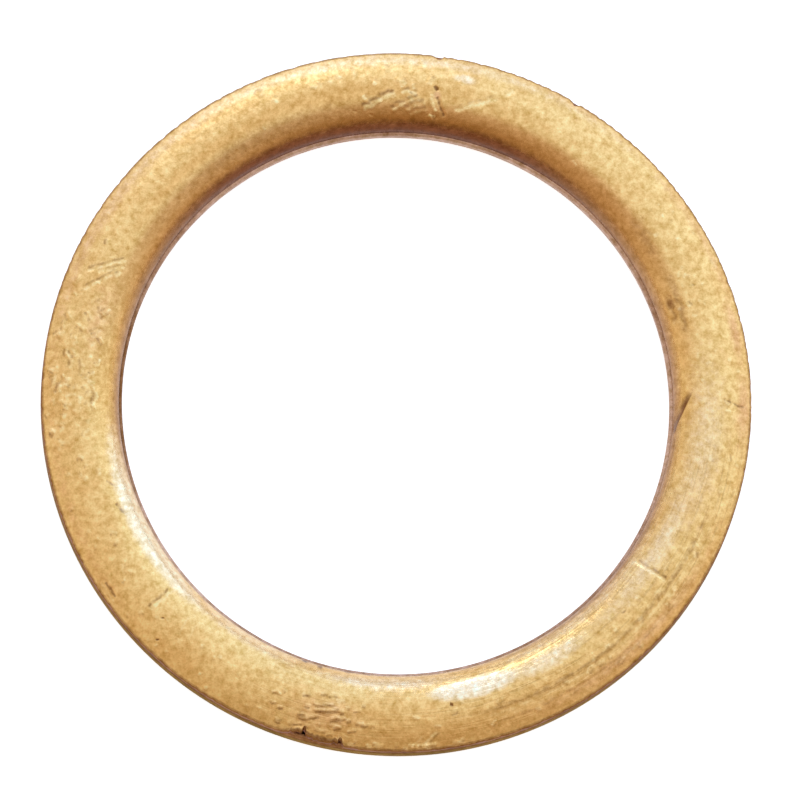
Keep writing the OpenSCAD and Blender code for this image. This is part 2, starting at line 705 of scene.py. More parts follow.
@dataclass(frozen=True)
class Places:
    """Places on the sheet: direction in degrees and distance along the sheet in metres."""

    direction: np.ndarray
    distance: np.ndarray
    outline: Outline

    def __len__(self) -> int:
        """Number of places."""
        return len(self.direction)

    def flat(self, direction: float, radius: float) -> np.ndarray:
        """Return one place of the crown as its length round the ring and along the sheet."""
        return np.array([math.radians(direction) * self.middle_r, float(self.outline.along(radius))])

    @property
    def middle_r(self) -> float:
        """Radius of the circle on which lengths round the ring are measured."""
        low, high = self.outline.stations["crown"]
        return float(np.interp((low + high) / 2, self.outline.distance, self.outline.radius))

    def spread(self, origin: np.ndarray) -> np.ndarray:
        """Return every place as its offset from one, round the ring and along the sheet."""
        turn = short_way(self.direction - math.degrees(origin[0] / self.middle_r))
        return np.stack([np.radians(turn) * self.middle_r, self.distance - origin[1]], axis=1)


# In these marks the share after the depth paints dirt and painted shade on the side away from the light, and
# the next one rubbed metal with a painted highlight along the line
SCRATCHES = (
    Mark(Form.SCRATCH, ((69.5, 18.45), (70.7, 17.9)), 0.12, 0.016, 0.25, 0.90),
    Mark(
        Form.SCRATCH, ((71.4, 17.77), (73.2, 17.35), (76.6, 16.77), (79.4, 16.32)), 0.124, 0.016, 0.3, 0.84
    ),
    Mark(Form.SCRATCH, ((74.5, 17.3), (77.3, 16.85)), 0.088, 0.01, 0.23, 0.51),
    Mark(Form.SCRATCH, ((77.3, 18.45), (79.9, 18.1)), 0.124, 0.01, 0.15, 0.65),
    Mark(
        Form.SCRATCH, ((152.7, 16.5), (154.1, 17.16), (155.9, 17.71), (157.7, 18.5)), 0.096, 0.018, 0.45, 0.89
    ),
    Mark(Form.SCRATCH, ((153.9, 16.5), (155.5, 17.1), (157.2, 17.9)), 0.088, 0.014, 0.38, 0.65),
    Mark(
        Form.SCRATCH, ((155.1, 16.7), (157.3, 17.2), (159.0, 17.65), (161.1, 18.3)), 0.096, 0.018, 0.45, 0.84
    ),
    Mark(Form.SCRATCH, ((160.3, 17.7), (162.6, 18.6)), 0.088, 0.01, 0.3, 0.4),
    Mark(Form.SCRATCH, ((162.5, 16.36), (164.8, 17.0)), 0.105, 0.016, 0.38, 0.65),
    Mark(Form.SCRATCH, ((163.6, 16.3), (165.6, 16.75)), 0.088, 0.014, 0.45, 0.4),
    Mark(Form.SCRATCH, ((166.9, 16.57), (168.5, 17.22)), 0.105, 0.016, 0.34, 0.65),
    Mark(Form.SCRATCH, ((172.7, 17.4), (174.9, 17.2), (176.7, 17.35)), 0.105, 0.014, 0.34, 0.51),
    Mark(Form.SCRATCH, ((221.0, 16.2), (221.2, 17.1), (221.1, 18.0)), 0.105, 0.02, 0.56, 0.9),
    Mark(Form.SCRATCH, ((226.8, 16.59), (227.9, 17.86)), 0.088, 0.01, 0.15, 0.51),
    Mark(Form.SCRATCH, ((228.9, 16.7), (229.8, 17.7)), 0.088, 0.01, 0.15, 0.46),
    Mark(Form.SCRATCH, ((212.0, 19.13), (214.5, 19.10), (217.5, 19.12)), 0.088, 0.012, 0.23, 0.51),
    Mark(Form.SCRATCH, ((213.5, 17.9), (211.5, 17.6)), 0.07, 0.008, 0.23, 0.4),
    Mark(Form.SCRATCH, ((274.1, 19.23), (277.1, 18.41)), 0.09, 0.018, 0.40, 0.80),
    Mark(Form.SCRATCH, ((273.0, 19.1), (274.6, 18.6)), 0.07, 0.01, 0.23, 0.46),
    Mark(Form.SCRATCH, ((325.7, 17.88), (325.7, 15.71)), 0.10, 0.022, 0.52, 0.90),
    Mark(Form.SCRATCH, ((316.0, 16.9), (317.2, 17.0)), 0.09, 0.014, 0.50, 0.50),
    Mark(Form.SCRATCH, ((53.0, 16.40), (54.4, 16.52)), 0.088, 0.01, 0.23, 0.4),
    Mark(Form.SCRATCH, ((347.0, 17.9), (349.3, 17.4), (352.5, 17.5)), 0.07, 0.008, 0.19, 0.4),
)
CRACKS = (
    Mark(Form.CRACK, ((360.5, 17.8), (359.9, 18.27), (359.4, 18.63), (359.2, 19.1)), 0.081, 0.02, 0.58),
    Mark(Form.CRACK, ((212.5, 18.94), (214.2, 18.9), (216.0, 18.9)), 0.11, 0.025, 0.62),
    Mark(Form.CRACK, ((82.7, 17.1), (82.0, 16.6), (80.6, 15.96)), 0.11, 0.03, 0.66),
    Mark(Form.CRACK, ((223.7, 17.70), (223.9, 17.76)), 0.108, 0.03, 0.9),
    Mark(Form.CRACK, ((225.6, 18.70), (225.9, 18.76)), 0.135, 0.03, 0.9),
    Mark(Form.CRACK, ((279.6, 17.16), (280.3, 17.22)), 0.121, 0.03, 0.9),
    Mark(Form.CRACK, ((196.2, 16.6), (198.0, 16.17)), 0.09, 0.02, 0.50),
    Mark(Form.CRACK, ((200.9, 16.5), (202.3, 16.38), (203.8, 16.15)), 0.10, 0.025, 0.66),
)
LONG_GROOVES = (
    Mark(
        Form.SCRATCH,
        ((342.3, 18.25), (330.0, 18.28), (316.0, 18.22), (303.0, 18.25), (292.0, 18.20), (281.5, 18.24)),
        0.16, 0.03, 0.42, 0.4, 1,
    ),
    Mark(Form.SCRATCH, ((285.0, 18.5), (300.0, 18.47), (316.0, 18.5)), 0.114, 0.015, 0.32, 0.31, 1),
    Mark(Form.SCRATCH, ((296.0, 18.75), (312.0, 18.7), (327.0, 18.78)), 0.082, 0.012, 0.29, 0.25, 1),
    Mark(
        Form.SCRATCH, ((290.0, 17.9), (305.0, 17.9), (318.0, 17.8), (336.0, 17.9)), 0.1, 0.012, 0.34, 0.3, 1
    ),
)
# The crease's facet is painted shade under its highlit edge, and the ridges by the north shoulder carry
# painted highlights and painted shaded sides
CREASES = (
    Mark(
        Form.CREASE,
        ((353.2, 15.31), (355.6, 15.44), (357.6, 15.65), (359.9, 15.93), (361.8, 16.21), (363.8, 16.45)),
        0.34, 0.05, 0.72, 0.05,
    ),
    Mark(Form.RIDGE, ((89.9, 17.03), (91.4, 16.92), (94.0, 16.57), (97.0, 16.21)), 0.15, 0.035, 0.62, 0.85),
    Mark(Form.RIDGE, ((86.2, 17.0), (88.0, 17.15), (89.5, 17.08)), 0.13, 0.03, 0.48, 0.80),
    Mark(Form.RIDGE, ((85.4, 16.86), (86.6, 16.70), (89.6, 16.36), (91.4, 16.06)), 0.14, 0.03, 0.52, 0.55),
    Mark(Form.RIDGE, ((84.4, 16.6), (86.5, 16.4), (88.6, 16.1)), 0.14, 0.022, 0.48, 0.42),
    Mark(Form.RIDGE, ((84.0, 16.25), (85.9, 16.1), (87.8, 15.88)), 0.11, 0.016, 0.40, 0.35),
    Mark(Form.RIDGE, ((83.7, 17.0), (83.3, 16.6), (82.3, 16.15)), 0.12, 0.025, 0.22, 0.80),
    Mark(Form.RIDGE, ((83.9, 16.02), (83.2, 15.94), (82.3, 15.92)), 0.11, 0.02, 0.18, 0.75),
)
# Burrs on the torn rim, painted bright: rubbed metal with painted highlights
BURRS = (
    Mark(Form.RIDGE, ((254.6, 19.26), (255.6, 19.28)), 0.07, 0.03, 0.0, 0.65),
    Mark(Form.RIDGE, ((255.7, 19.28), (257.2, 19.26), (258.2, 19.28)), 0.06, 0.03, 0.0, 0.45),
    Mark(Form.RIDGE, ((258.4, 19.28), (259.2, 19.26), (260.1, 19.28)), 0.06, 0.03, 0.0, 0.5),
)
DENTS = (
    Mark(Form.DENT, ((16.8, 15.92), (21.0, 15.92)), 0.32, 0.05, 0.42, 0.0, 1),
    Mark(Form.DENT, ((14.5, 16.3), (24.5, 16.45)), 0.34, 0.02, 0.42, 0.0, 0),
    Mark(Form.DENT, ((31.0, 16.3), (37.0, 16.45)), 0.55, 0.025, 0.36, 0.0, 0),
    Mark(Form.DENT, ((83.0, 17.52), (82.9, 17.42)), 0.15, 0.05, 0.8, 0.0),
    Mark(Form.DENT, ((82.6, 15.84), (82.8, 15.9)), 0.3, 0.04, 0.4, 0.0, 1),
    Mark(Form.DENT, ((95.0, 15.92), (95.3, 15.95)), 0.1, 0.02, 0.3, 0.0),
    Mark(Form.DENT, ((98.0, 16.19), (98.3, 16.2)), 0.1, 0.02, 0.3, 0.0),
)


@dataclass(frozen=True)
class Scatter:
    """Short bent marks, scattered round one direction, each a small ridge with painted light and shade.

    Middle and spread are in degrees. Radius, reach and width are the least and the greatest of
    them in millimetres, turn is that of the marks' slant from the way round the ring in degrees,
    and the two shares after the depth are those of a mark: dirt with painted shade, and rubbed
    metal with a painted highlight. Bend is how far a mark's middle may stand aside, as a share of
    its reach.
    """

    count: int
    seed: int
    middle: float
    spread: float
    radius: Point
    reach: Point
    turn: Point
    width: Point = (0.08, 0.12)
    depth: float = 0.03
    dirt: Point = (0.15, 0.45)
    rubbed: Point = (0.40, 0.85)
    bend: float = 0.35

    def marks(self) -> tuple[Mark, ...]:
        """Scatter the marks.

        Returns:
            The marks, the same ones each time.
        """
        dice = np.random.default_rng(self.seed)
        found = []
        for _ in range(self.count):
            direction, radius = dice.normal(self.middle, self.spread), dice.uniform(*self.radius)
            reach, turn = dice.uniform(*self.reach), math.radians(dice.uniform(*self.turn))
            round_ring = math.degrees(reach * math.cos(turn) / radius)
            outward = reach * math.sin(turn)
            bend = dice.uniform(-self.bend, self.bend) * reach
            line = (
                (direction - round_ring, radius - outward),
                (direction, radius + bend),
                (direction + round_ring, radius + outward),
            )
            spans = (self.width, self.dirt, self.rubbed)
            width, dirt, rubbed = (dice.uniform(*span) for span in spans)
            found.append(Mark(Form.RIDGE, line, width, self.depth, dirt, rubbed, 1))
        return tuple(found)


SCATTERS = (
    Scatter(60, 11, 256.5, 4.4, (16.8, 19.0), (0.15, 0.38), (-18.0, 2.0), (0.06, 0.09), dirt=(0.3, 0.6)),
    Scatter(85, 12, 176.0, 11.0, (16.4, 19.1), (0.12, 0.35), (-80.0, 80.0), depth=0.035, dirt=(0.2, 0.55)),
    Scatter(26, 13, 92.0, 12.0, (16.6, 19.0), (0.12, 0.30), (20.0, 70.0)),
    Scatter(36, 14, 10.0, 20.0, (16.2, 19.1), (0.08, 0.22), (-80.0, 80.0)),
    Scatter(36, 15, 305.0, 18.0, (16.6, 19.2), (0.08, 0.30), (-30.0, 30.0)),
    Scatter(30, 16, 225.0, 18.0, (17.2, 19.1), (0.06, 0.18), (-80.0, 80.0)),
    Scatter(30, 17, 271.0, 9.0, (19.1, 19.32), (0.08, 0.25), (-15.0, 15.0), (0.06, 0.09), dirt=(0.3, 0.6)),
)


TINT_PATCHES = (
    # Warm tarnish, laid mostly as painted shade where the slopes turn from the light
    TintPatch(Tint.WARM, (292.0, 18.6), (40.0, 1.2), 0.76),
    TintPatch(Tint.WARM, (318.0, 19.15), (26.0, 0.4), 0.85),
    TintPatch(Tint.WARM, (266.0, 17.8), (24.0, 1.1), 0.50),
    TintPatch(Tint.WARM, (100.0, 17.3), (36.0, 0.8), 0.75),
    TintPatch(Tint.WARM, (124.0, 17.1), (28.0, 0.55), 0.75),
    TintPatch(Tint.WARM, (176.0, 16.2), (14.0, 0.8), 0.60),
    # A dark line round the rim's edge: painted shade where the crown turns down
    TintPatch(Tint.DIRT, (0.0, 19.45), (1000.0, 0.08), 0.55),
    # Rosy tarnish near the rim and on the shoulder
    TintPatch(Tint.ROSY, (359.0, 19.0), (7.0, 0.5), 0.66),
    TintPatch(Tint.ROSY, (12.5, 18.95), (6.5, 0.4), 0.66),
    TintPatch(Tint.ROSY, (28.0, 19.1), (18.0, 0.35), 0.45),
    TintPatch(Tint.ROSY, (60.0, 19.2), (14.0, 0.25), 0.35),
    TintPatch(Tint.ROSY, (150.0, 19.0), (26.0, 0.55), 0.44),
    TintPatch(Tint.ROSY, (165.0, 16.9), (10.0, 0.7), 0.45),
    TintPatch(Tint.ROSY, (200.0, 18.9), (24.0, 0.5), 0.35),
    TintPatch(Tint.ROSY, (257.0, 18.0), (8.0, 1.3), 0.45),
    TintPatch(Tint.ROSY, (314.0, 18.85), (26.0, 0.5), 0.50),
    # Dark patches on the bore's north and west side: painted shade where the shoulder faces away from the
    # light
    TintPatch(Tint.DIRT, (40.0, 15.7), (26.0, 0.5), 0.20),
    TintPatch(Tint.DIRT, (118.0, 16.45), (34.0, 0.70), 0.36),
    TintPatch(Tint.DIRT, (168.0, 16.15), (14.0, 0.5), 0.24),
    TintPatch(Tint.DIRT, (145.0, 16.45), (7.0, 0.15), 0.25),
    # Darker in the dent at the east foot
    TintPatch(Tint.DIRT, (19.9, 15.93), (1.5, 0.30), 0.62, 1.5),
    # A dark line along the shoulder's foot: painted shade in the crease
    TintPatch(Tint.DIRT, (176.0, 15.16), (34.0, 0.30), 0.80),
    TintPatch(Tint.DIRT, (250.0, 15.16), (40.0, 0.22), 0.50),
    TintPatch(Tint.DIRT, (22.0, 15.10), (22.0, 0.30), 0.42),
    TintPatch(Tint.DIRT, (305.0, 15.16), (35.0, 0.26), 0.60),
    # Dark spots at the nicks in the bore's edge and along the torn rim
    TintPatch(Tint.DIRT, (250.9, 15.25), (0.6, 0.34), 1.00),
    TintPatch(Tint.DIRT, (254.2, 15.35), (0.5, 0.36), 0.90),
    TintPatch(Tint.DIRT, (260.0, 15.20), (1.1, 0.26), 1.00),
    TintPatch(Tint.DIRT, (264.3, 15.20), (0.5, 0.22), 1.00),
    TintPatch(Tint.DIRT, (256.6, 19.40), (6.5, 0.32), 0.75, 1.5),
    # Rosy tarnish in a nick
    TintPatch(Tint.ROSY, (82.6, 17.06), (0.8, 0.3), 0.70),
    # Painted highlights, laid as pale bare metal, on the shoulder's south and east side and on the north
    # slope by the rim
    TintPatch(Tint.BARE, (208.0, 15.66), (22.0, 0.76), 0.92, 1.5),
    TintPatch(Tint.BARE, (238.0, 15.52), (17.0, 0.66), 0.52, 1.5),
    TintPatch(Tint.BARE, (268.0, 15.74), (15.0, 0.62), 0.56, 1.5),
    TintPatch(Tint.BARE, (100.0, 18.98), (62.0, 0.45), 0.44),
    TintPatch(Tint.BARE, (312.0, 15.62), (30.0, 0.45), 0.42),
    TintPatch(Tint.BARE, (285.0, 16.50), (9.0, 0.62), 1.00, 2.5),
    TintPatch(Tint.BARE, (300.0, 16.60), (9.0, 0.60), 0.50, 2.0),
    TintPatch(Tint.BARE, (330.0, 16.50), (22.0, 0.80), 0.42),
    TintPatch(Tint.BARE, (352.0, 17.00), (20.0, 1.30), 0.38),
    # Small pale patches by the north scratches and on the north rim: rubbed metal with painted highlights
    TintPatch(Tint.BARE, (78.2, 18.28), (2.4, 0.32), 0.55, 1.5),
    TintPatch(Tint.BARE, (93.0, 19.00), (2.4, 0.30), 0.35, 1.5),
)
TORN_EDGES = (
    TornEdge(
        (
            (250.9, 0.0), (251.4, 0.05), (252.2, 0.13), (253.2, 0.26), (254.2, 0.34), (254.6, 0.44),
            (255.0, 0.30), (255.3, 0.20), (255.8, 0.15), (257.4, 0.10), (258.7, 0.09), (259.9, 0.18),
            (260.6, 0.30), (261.2, 0.14), (261.6, 0.04), (262.2, 0.0),
        )
    ),
    TornEdge(((58.6, 0.0), (58.9, 0.10), (59.4, 0.13), (60.2, 0.06), (60.7, 0.0)), 0.2),
    TornEdge(((82.2, 0.0), (82.6, 0.11), (83.3, 0.14), (83.8, 0.07), (84.2, 0.0)), 0.2),
)


# Finishes


class NodeGraph:
    """A node tree while it is wired."""

    def __init__(self, tree: bpy.types.NodeTree) -> None:
        """Start on a tree, emptied of the nodes that it has."""
        self.tree = tree
        tree.nodes.clear()

    def add(self, kind: str, **settings: object) -> bpy.types.Node:
        """Add a node.

        Args:
            kind: The node's type.
            settings: Properties of the node and their values.

        Returns:
            The new node.
        """
        node = self.tree.nodes.new(kind)
        for name, value in settings.items():
            setattr(node, name, value)
        return node

    def feed(self, target: Socket, source: Socket | float | tuple) -> None:
        """Link a socket to a target, or write a value on it.

        Args:
            target: The input that is fed.
            source: The output that feeds it, or its value.
        """
        if isinstance(source, bpy.types.NodeSocket):
            self.tree.links.new(source, target)
        else:
            target.default_value = source

    def maths(self, operation: str, *inputs: Socket | float, clamp: bool = False) -> Socket:
        """Add a Math node.

        Args:
            operation: The operation's name.
            inputs: Its one to three inputs.
            clamp: Whether the result is held between 0 and 1.

        Returns:
            The node's output.
        """
        node = self.add("ShaderNodeMath", operation=operation, use_clamp=clamp)
        for target, source in zip(node.inputs, inputs):
            self.feed(target, source)
        return node.outputs[0]

    def ramp(self, value: Socket, low: float, high: float, out: Point = (0.0, 1.0)) -> Socket:
        """Map a value smoothly from one range to another.

        Args:
            value: The value to map.
            low: Value that gives the first result.
            high: Value that gives the second result.
            out: The two results.

        Returns:
            The mapped value.
        """
        node = self.add("ShaderNodeMapRange", interpolation_type="SMOOTHSTEP")
        names = ("Value", "From Min", "From Max", "To Min", "To Max")
        for name, source in zip(names, (value, low, high, *out)):
            self.feed(node.inputs[name], source)
        return node.outputs[0]

    def blend(self, share: Socket | float, first: Socket | tuple, second: Socket | tuple) -> Socket:
        """Mix two colours.

        Args:
            share: Share of the second colour.
            first: The first colour.
            second: The second colour.

        Returns:
            The mixed colour.
        """
        node = self.add("ShaderNodeMix", data_type="RGBA")
        # The node's other sockets are those of numbers and vectors
        factor, colours, mixed = node.inputs[0], node.inputs[6:8], node.outputs[2]
        self.feed(factor, share)
        self.feed(colours[0], first)
        self.feed(colours[1], second)
        return mixed

    def vector(self, operation: str, *inputs: Socket | tuple) -> Socket:
        """Add a Vector Math node.

        Args:
            operation: The operation's name.
            inputs: Its vector inputs.

        Returns:
            The node's vector output.
        """
        node = self.add("ShaderNodeVectorMath", operation=operation)
        for target, source in zip(node.inputs, inputs):
            self.feed(target, source)
        return node.outputs["Vector"]

    def scale(self, vector: Socket | tuple, factor: Socket | float) -> Socket:
        """Scale a vector or a colour.

        Args:
            vector: The vector or the colour.
            factor: The factor.

        Returns:
            The scaled vector.
        """
        node = self.add("ShaderNodeVectorMath", operation="SCALE")
        self.feed(node.inputs[0], vector)
        self.feed(node.inputs["Scale"], factor)
        return node.outputs["Vector"]

    def dot(self, first: Socket | tuple, second: Socket | tuple) -> Socket:
        """Multiply two vectors with each other.

        Args:
            first: The first vector.
            second: The second vector.

        Returns:
            Their dot product.
        """
        node = self.add("ShaderNodeVectorMath", operation="DOT_PRODUCT")
        self.feed(node.inputs[0], first)
        self.feed(node.inputs[1], second)
        return node.outputs["Value"]

    def axes(self, vector: Socket) -> tuple[Socket, ...]:
        """Take a vector apart.

        Args:
            vector: The vector.

        Returns:
            Its three coordinates.
        """
        node = self.add("ShaderNodeSeparateXYZ")
        self.feed(node.inputs[0], vector)
        return tuple(node.outputs)

    def noise(self, place: Socket, per_mm: float, detail: float, rough: float) -> Socket:
        """Add a noise pattern.

        Args:
            place: Coordinates that the pattern follows, in metres.
            per_mm: Number of its blotches in a millimetre.
            detail: Octaves of finer pattern in it.
            rough: Share that each finer octave keeps.

        Returns:
            The pattern's value.
        """
        node = self.add("ShaderNodeTexNoise")
        self.feed(node.inputs["Vector"], place)
        self.feed(node.inputs["Scale"], per_mm / MM)
        self.feed(node.inputs["Detail"], detail)
        self.feed(node.inputs["Roughness"], rough)
        return node.outputs["Fac"]


class EffectGroup:
    """A shader effect that several finishes share: a node group, built once.

    It reads a place and some numbers, and puts out numbers that change over the surface.
    """

    name = "effect"
    numbers: tuple[str, ...] = ()
    results: tuple[str, ...] = ()

    def tree(self) -> bpy.types.NodeTree:
        """Return the effect's node group, which is built when it is first asked for.

        Returns:
            The node group.
        """
        found = bpy.data.node_groups.get(self.name)
        if found is None:
            found = bpy.data.node_groups.new(self.name, "ShaderNodeTree")
            self.build(found)
        return found

    def build(self, tree: bpy.types.NodeTree) -> None:
        """Give a node group its named inputs and outputs, and wire it.

        Args:
            tree: The new node group.
        """
        tree.interface.new_socket("Place", in_out="INPUT", socket_type="NodeSocketVector")
        for name in self.numbers:
            tree.interface.new_socket(name, in_out="INPUT", socket_type="NodeSocketFloat")
        for name in self.results:
            tree.interface.new_socket(name, in_out="OUTPUT", socket_type="NodeSocketFloat")
        graph = NodeGraph(tree)
        given = graph.add("NodeGroupInput").outputs
        target = graph.add("NodeGroupOutput")
        for name, result in zip(self.results, self.wire(graph, given)):
            graph.feed(target.inputs[name], result)

    def wire(self, graph: NodeGraph, given: Outputs) -> tuple[Socket, ...]:
        """Wire what the effect works out; each effect has its own way.

        Args:
            graph: The group's graph.
            given: The group's inputs.

        Returns:
            The results, in the order of their names.
        """
        raise NotImplementedError

    def place(self, graph: NodeGraph, **values: Socket | float | tuple) -> bpy.types.Node:
        """Place the effect in a material.

        Args:
            graph: The material's graph.
            values: Values or sockets for the group's inputs; an underscore stands for a space.

        Returns:
            The group node.
        """
        node = graph.add("ShaderNodeGroup", node_tree=self.tree())
        for name, value in values.items():
            graph.feed(node.inputs[name.replace("_", " ")], value)
        return node


class RingPlace(EffectGroup):
    """Radius from the ring's axis and height over the flat side, in millimetres."""

    name = "ring_place"
    results = ("Radius", "Height")

    def wire(self, graph: NodeGraph, given: Outputs) -> tuple[Socket, ...]:
        """Wire the radius and the height.

        Args:
            graph: The group's graph.
            given: The group's inputs.

        Returns:
            The radius and the height.
        """
        x, y, z = graph.axes(given["Place"])
        squares = graph.maths("ADD", graph.maths("MULTIPLY", x, x), graph.maths("MULTIPLY", y, y))
        radius = graph.maths("DIVIDE", graph.maths("SQRT", squares), MM)
        return radius, graph.maths("DIVIDE", z, MM)


class Sector(EffectGroup):
    """A soft-edged stretch of the ring, round a direction."""

    name = "sector"
    numbers = ("Middle", "Half width", "Softness")
    results = ("Share",)

    def wire(self, graph: NodeGraph, given: Outputs) -> tuple[Socket, ...]:
        """Wire the stretch.

        Args:
            graph: The group's graph.
            given: The group's inputs.

        Returns:
            A share that is 1 in the stretch and falls to 0 over the softness beside it.
        """
        x, y, _ = graph.axes(given["Place"])
        direction = graph.maths("DEGREES", graph.maths("ARCTAN2", y, x))
        offset = graph.maths("SUBTRACT", direction, given["Middle"])
        wrapped = graph.maths("WRAP", offset, FULL_TURN / 2, -FULL_TURN / 2)
        past = graph.maths("SUBTRACT", graph.maths("ABSOLUTE", wrapped), given["Half width"])
        share = graph.maths("DIVIDE", past, given["Softness"])
        return (graph.ramp(share, 0.0, 1.0, (1.0, 0.0)),)


class Speckle(EffectGroup):
    """The fine grain of handled metal: a brightness, a tint and a height, each round a half."""

    name = "speckle"
    results = ("Brightness", "Tint", "Height")
    aside: Triple = (0.31, 0.17, 0.23)

    def wire(self, graph: NodeGraph, given: Outputs) -> tuple[Socket, ...]:
        """Wire three noises, of which the last two are read aside from the first.

        Args:
            graph: The group's graph.
            given: The group's inputs.

        Returns:
            The brightness, the tint and the height.
        """
        place = given["Place"]
        elsewhere = graph.vector("ADD", place, self.aside)
        brightness = graph.noise(place, per_mm=2.4, detail=3.0, rough=0.78)
        tint = graph.noise(elsewhere, per_mm=2.6, detail=3.0, rough=0.75)
        height = graph.noise(elsewhere, per_mm=3.0, detail=3.0, rough=0.7)
        return brightness, tint, height


class Streaks(EffectGroup):
    """Fine lines that run round the ring, where it was drawn and rubbed: a mask from 0 to 1.

    In one turn of the ring the pattern only goes round turn_radius, which makes the lines long.
    """

    name = "streaks"
    numbers = ("Path", "Per mm")
    results = ("Share",)
    turn_radius: float = 6 * MM
    line_range: Point = (0.48, 0.68)

    def wire(self, graph: NodeGraph, given: Outputs) -> tuple[Socket, ...]:
        """Wire a noise that changes fast along the path and slowly round the ring.

        Args:
            graph: The group's graph.
            given: The group's inputs.

        Returns:
            The lines' mask.
        """
        level = graph.vector("MULTIPLY", given["Place"], (1.0, 1.0, 0.0))
        outward = graph.scale(graph.vector("NORMALIZE", level), self.turn_radius)
        across = graph.add("ShaderNodeCombineXYZ")
        graph.feed(across.inputs["Z"], graph.maths("MULTIPLY", given["Path"], given["Per mm"]))
        spot = graph.vector("ADD", outward, across.outputs[0])
        lines = graph.noise(spot, per_mm=1.0, detail=3.0, rough=0.6)
        return (graph.ramp(lines, *self.line_range),)


@dataclass(frozen=True)
class Patterns:
    """What the parts of one material share: its graph, its coordinates and its patterns."""

    graph: NodeGraph
    place: Socket
    speckle: bpy.types.Node
    ring: bpy.types.Node

    @classmethod
    def of(cls, graph: NodeGraph) -> "Patterns":
        """Start a material's graph with its coordinates and its patterns.

        Args:
            graph: The material's graph.

        Returns:
            The patterns.
        """
        place = graph.add("ShaderNodeTexCoord").outputs["Object"]
        speckle = Speckle().place(graph, Place=place)
        return cls(graph, place, speckle, RingPlace().place(graph, Place=place))

    def stray(self, pattern: str = "Tint") -> Socket:
        """Return how far one of the speckle's patterns lies from its middle."""
        return self.graph.maths("SUBTRACT", self.speckle.outputs[pattern], 0.5)

    def attribute(self, name: str) -> Socket:
        """Read one of the sheet's own attributes."""
        return self.graph.add("ShaderNodeAttribute", attribute_name=name).outputs["Fac"]


@dataclass(frozen=True)
class CopperFinish:
    """A finish of the copper sheet: its clean colour, its tarnish and how smooth it is.

    The four colours after the tarnish are those of stains, painted shade and painted highlights on the
    sheet and on its marks. Each range is the two values of a pattern between which an effect sets in.
    Grain says how much the speckle changes red, green and blue, grazing is the colour seen edge on,
    and relief is the height of the grain.
    """

    name: str
    clean: Colour
    tarnish: Colour
    # The dark colour paints dirt and painted shade; the bare and rubbed ones paint metal with painted
    # highlights
    dirt: Colour = (0.26, 0.105, 0.03, 1.0)
    bare: Colour = (1.0, 0.75, 0.46, 1.0)
    rubbed: Colour = (1.0, 0.68, 0.29, 1.0)
    rosy: Colour = (0.82, 0.43, 0.18, 1.0)
    tarnish_share: float = 0.3
    tarnish_range: Point = (0.42, 0.68)
    fleck_share: float = 0.4
    fleck_range: Point = (0.42, 0.7)
    tint_range: Point = (0.08, 0.85)
    tint_stray: float = 0.5
    roughness: float = 0.42
    rough_swing: float = 0.08
    rough_range: Point = (0.3, 0.7)
    grazing: Colour = WHITE
    grain: Triple = (1.15, 1.45, 2.3)
    relief: float = 0.025 * MM

    def material(self) -> bpy.types.Material:
        """Build the material.

        Returns:
            The material, with its grain, its tarnish, its stains, and the dirt, painted shade and highlights
            of its patches and marks.
        """
        material = bpy.data.materials.new(self.name)
        material.use_nodes = True
        graph = NodeGraph(material.node_tree)
        base = Patterns.of(graph)
        bump = graph.add("ShaderNodeBump")
        graph.feed(bump.inputs["Strength"], 1.0)
        graph.feed(bump.inputs["Distance"], self.relief)
        graph.feed(bump.inputs["Height"], self.surface_height(base))
        shader = graph.add("ShaderNodeBsdfPrincipled")
        graph.feed(shader.inputs["Base Color"], self.worn(base, self.sheet_colour(base)))
        graph.feed(shader.inputs["Metallic"], 1.0)
        graph.feed(shader.inputs["Specular Tint"], self.grazing)
        graph.feed(shader.inputs["Roughness"], self.gloss(base))
        graph.feed(shader.inputs["Normal"], bump.outputs["Normal"])
        output = graph.add("ShaderNodeOutputMaterial")
        graph.feed(output.inputs["Surface"], shader.outputs["BSDF"])
        return material

    def sheet_colour(self, base: Patterns) -> Socket:
        """Wire the unmarked sheet's colour: clean metal, blotches of tarnish and flecks.

        Args:
            base: The material's patterns.

        Returns:
            The colour.
        """
        graph = base.graph
        blotch = graph.noise(base.place, per_mm=0.4, detail=4.0, rough=0.6)
        share = graph.ramp(blotch, *self.tarnish_range, (0.0, self.tarnish_share))
        flecks = graph.ramp(base.speckle.outputs["Tint"], *self.fleck_range, (0.0, self.fleck_share))
        share = graph.maths("ADD", share, flecks, clamp=True)
        return graph.blend(share, self.clean, self.tarnish)

    def worn(self, base: Patterns, colour: Socket) -> Socket:
        """Lay the stains, the dirt, the rubbed metal, the painted shade and highlights and the grain over a
        colour.

        Args:
            base: The material's patterns.
            colour: The unmarked sheet's colour.

        Returns:
            The worn colour, with its painted shade and highlights.
        """
        graph = base.graph
        stray = base.stray()
        for tint, over in zip(Tint, (self.tarnish, self.rubbed, self.rosy, self.dirt, self.bare)):
            share = graph.maths("MULTIPLY_ADD", stray, self.tint_stray, base.attribute(tint.value))
            colour = graph.blend(graph.ramp(share, *self.tint_range), colour, over)
        gain = graph.vector("ADD", graph.scale(self.grain, base.stray("Brightness")), WHITE[:3])
        return graph.vector("MULTIPLY", colour, gain)

    def gloss(self, base: Patterns) -> Socket:
        """Wire the roughness, which the speckle changes a little."""
        return base.graph.maths("ADD", self.swing(base), self.roughness)

    def swing(self, base: Patterns) -> Socket:
        """Wire how far the roughness lies from its usual value, less where the grain is bright.

        Args:
            base: The material's patterns.

        Returns:
            The difference.
        """
        ends = (self.rough_swing, -self.rough_swing)
        return base.graph.ramp(base.speckle.outputs["Brightness"], *self.rough_range, ends)

    def surface_height(self, base: Patterns) -> Socket:
        """Wire the fine relief that the bump follows."""
        return base.speckle.outputs["Height"]


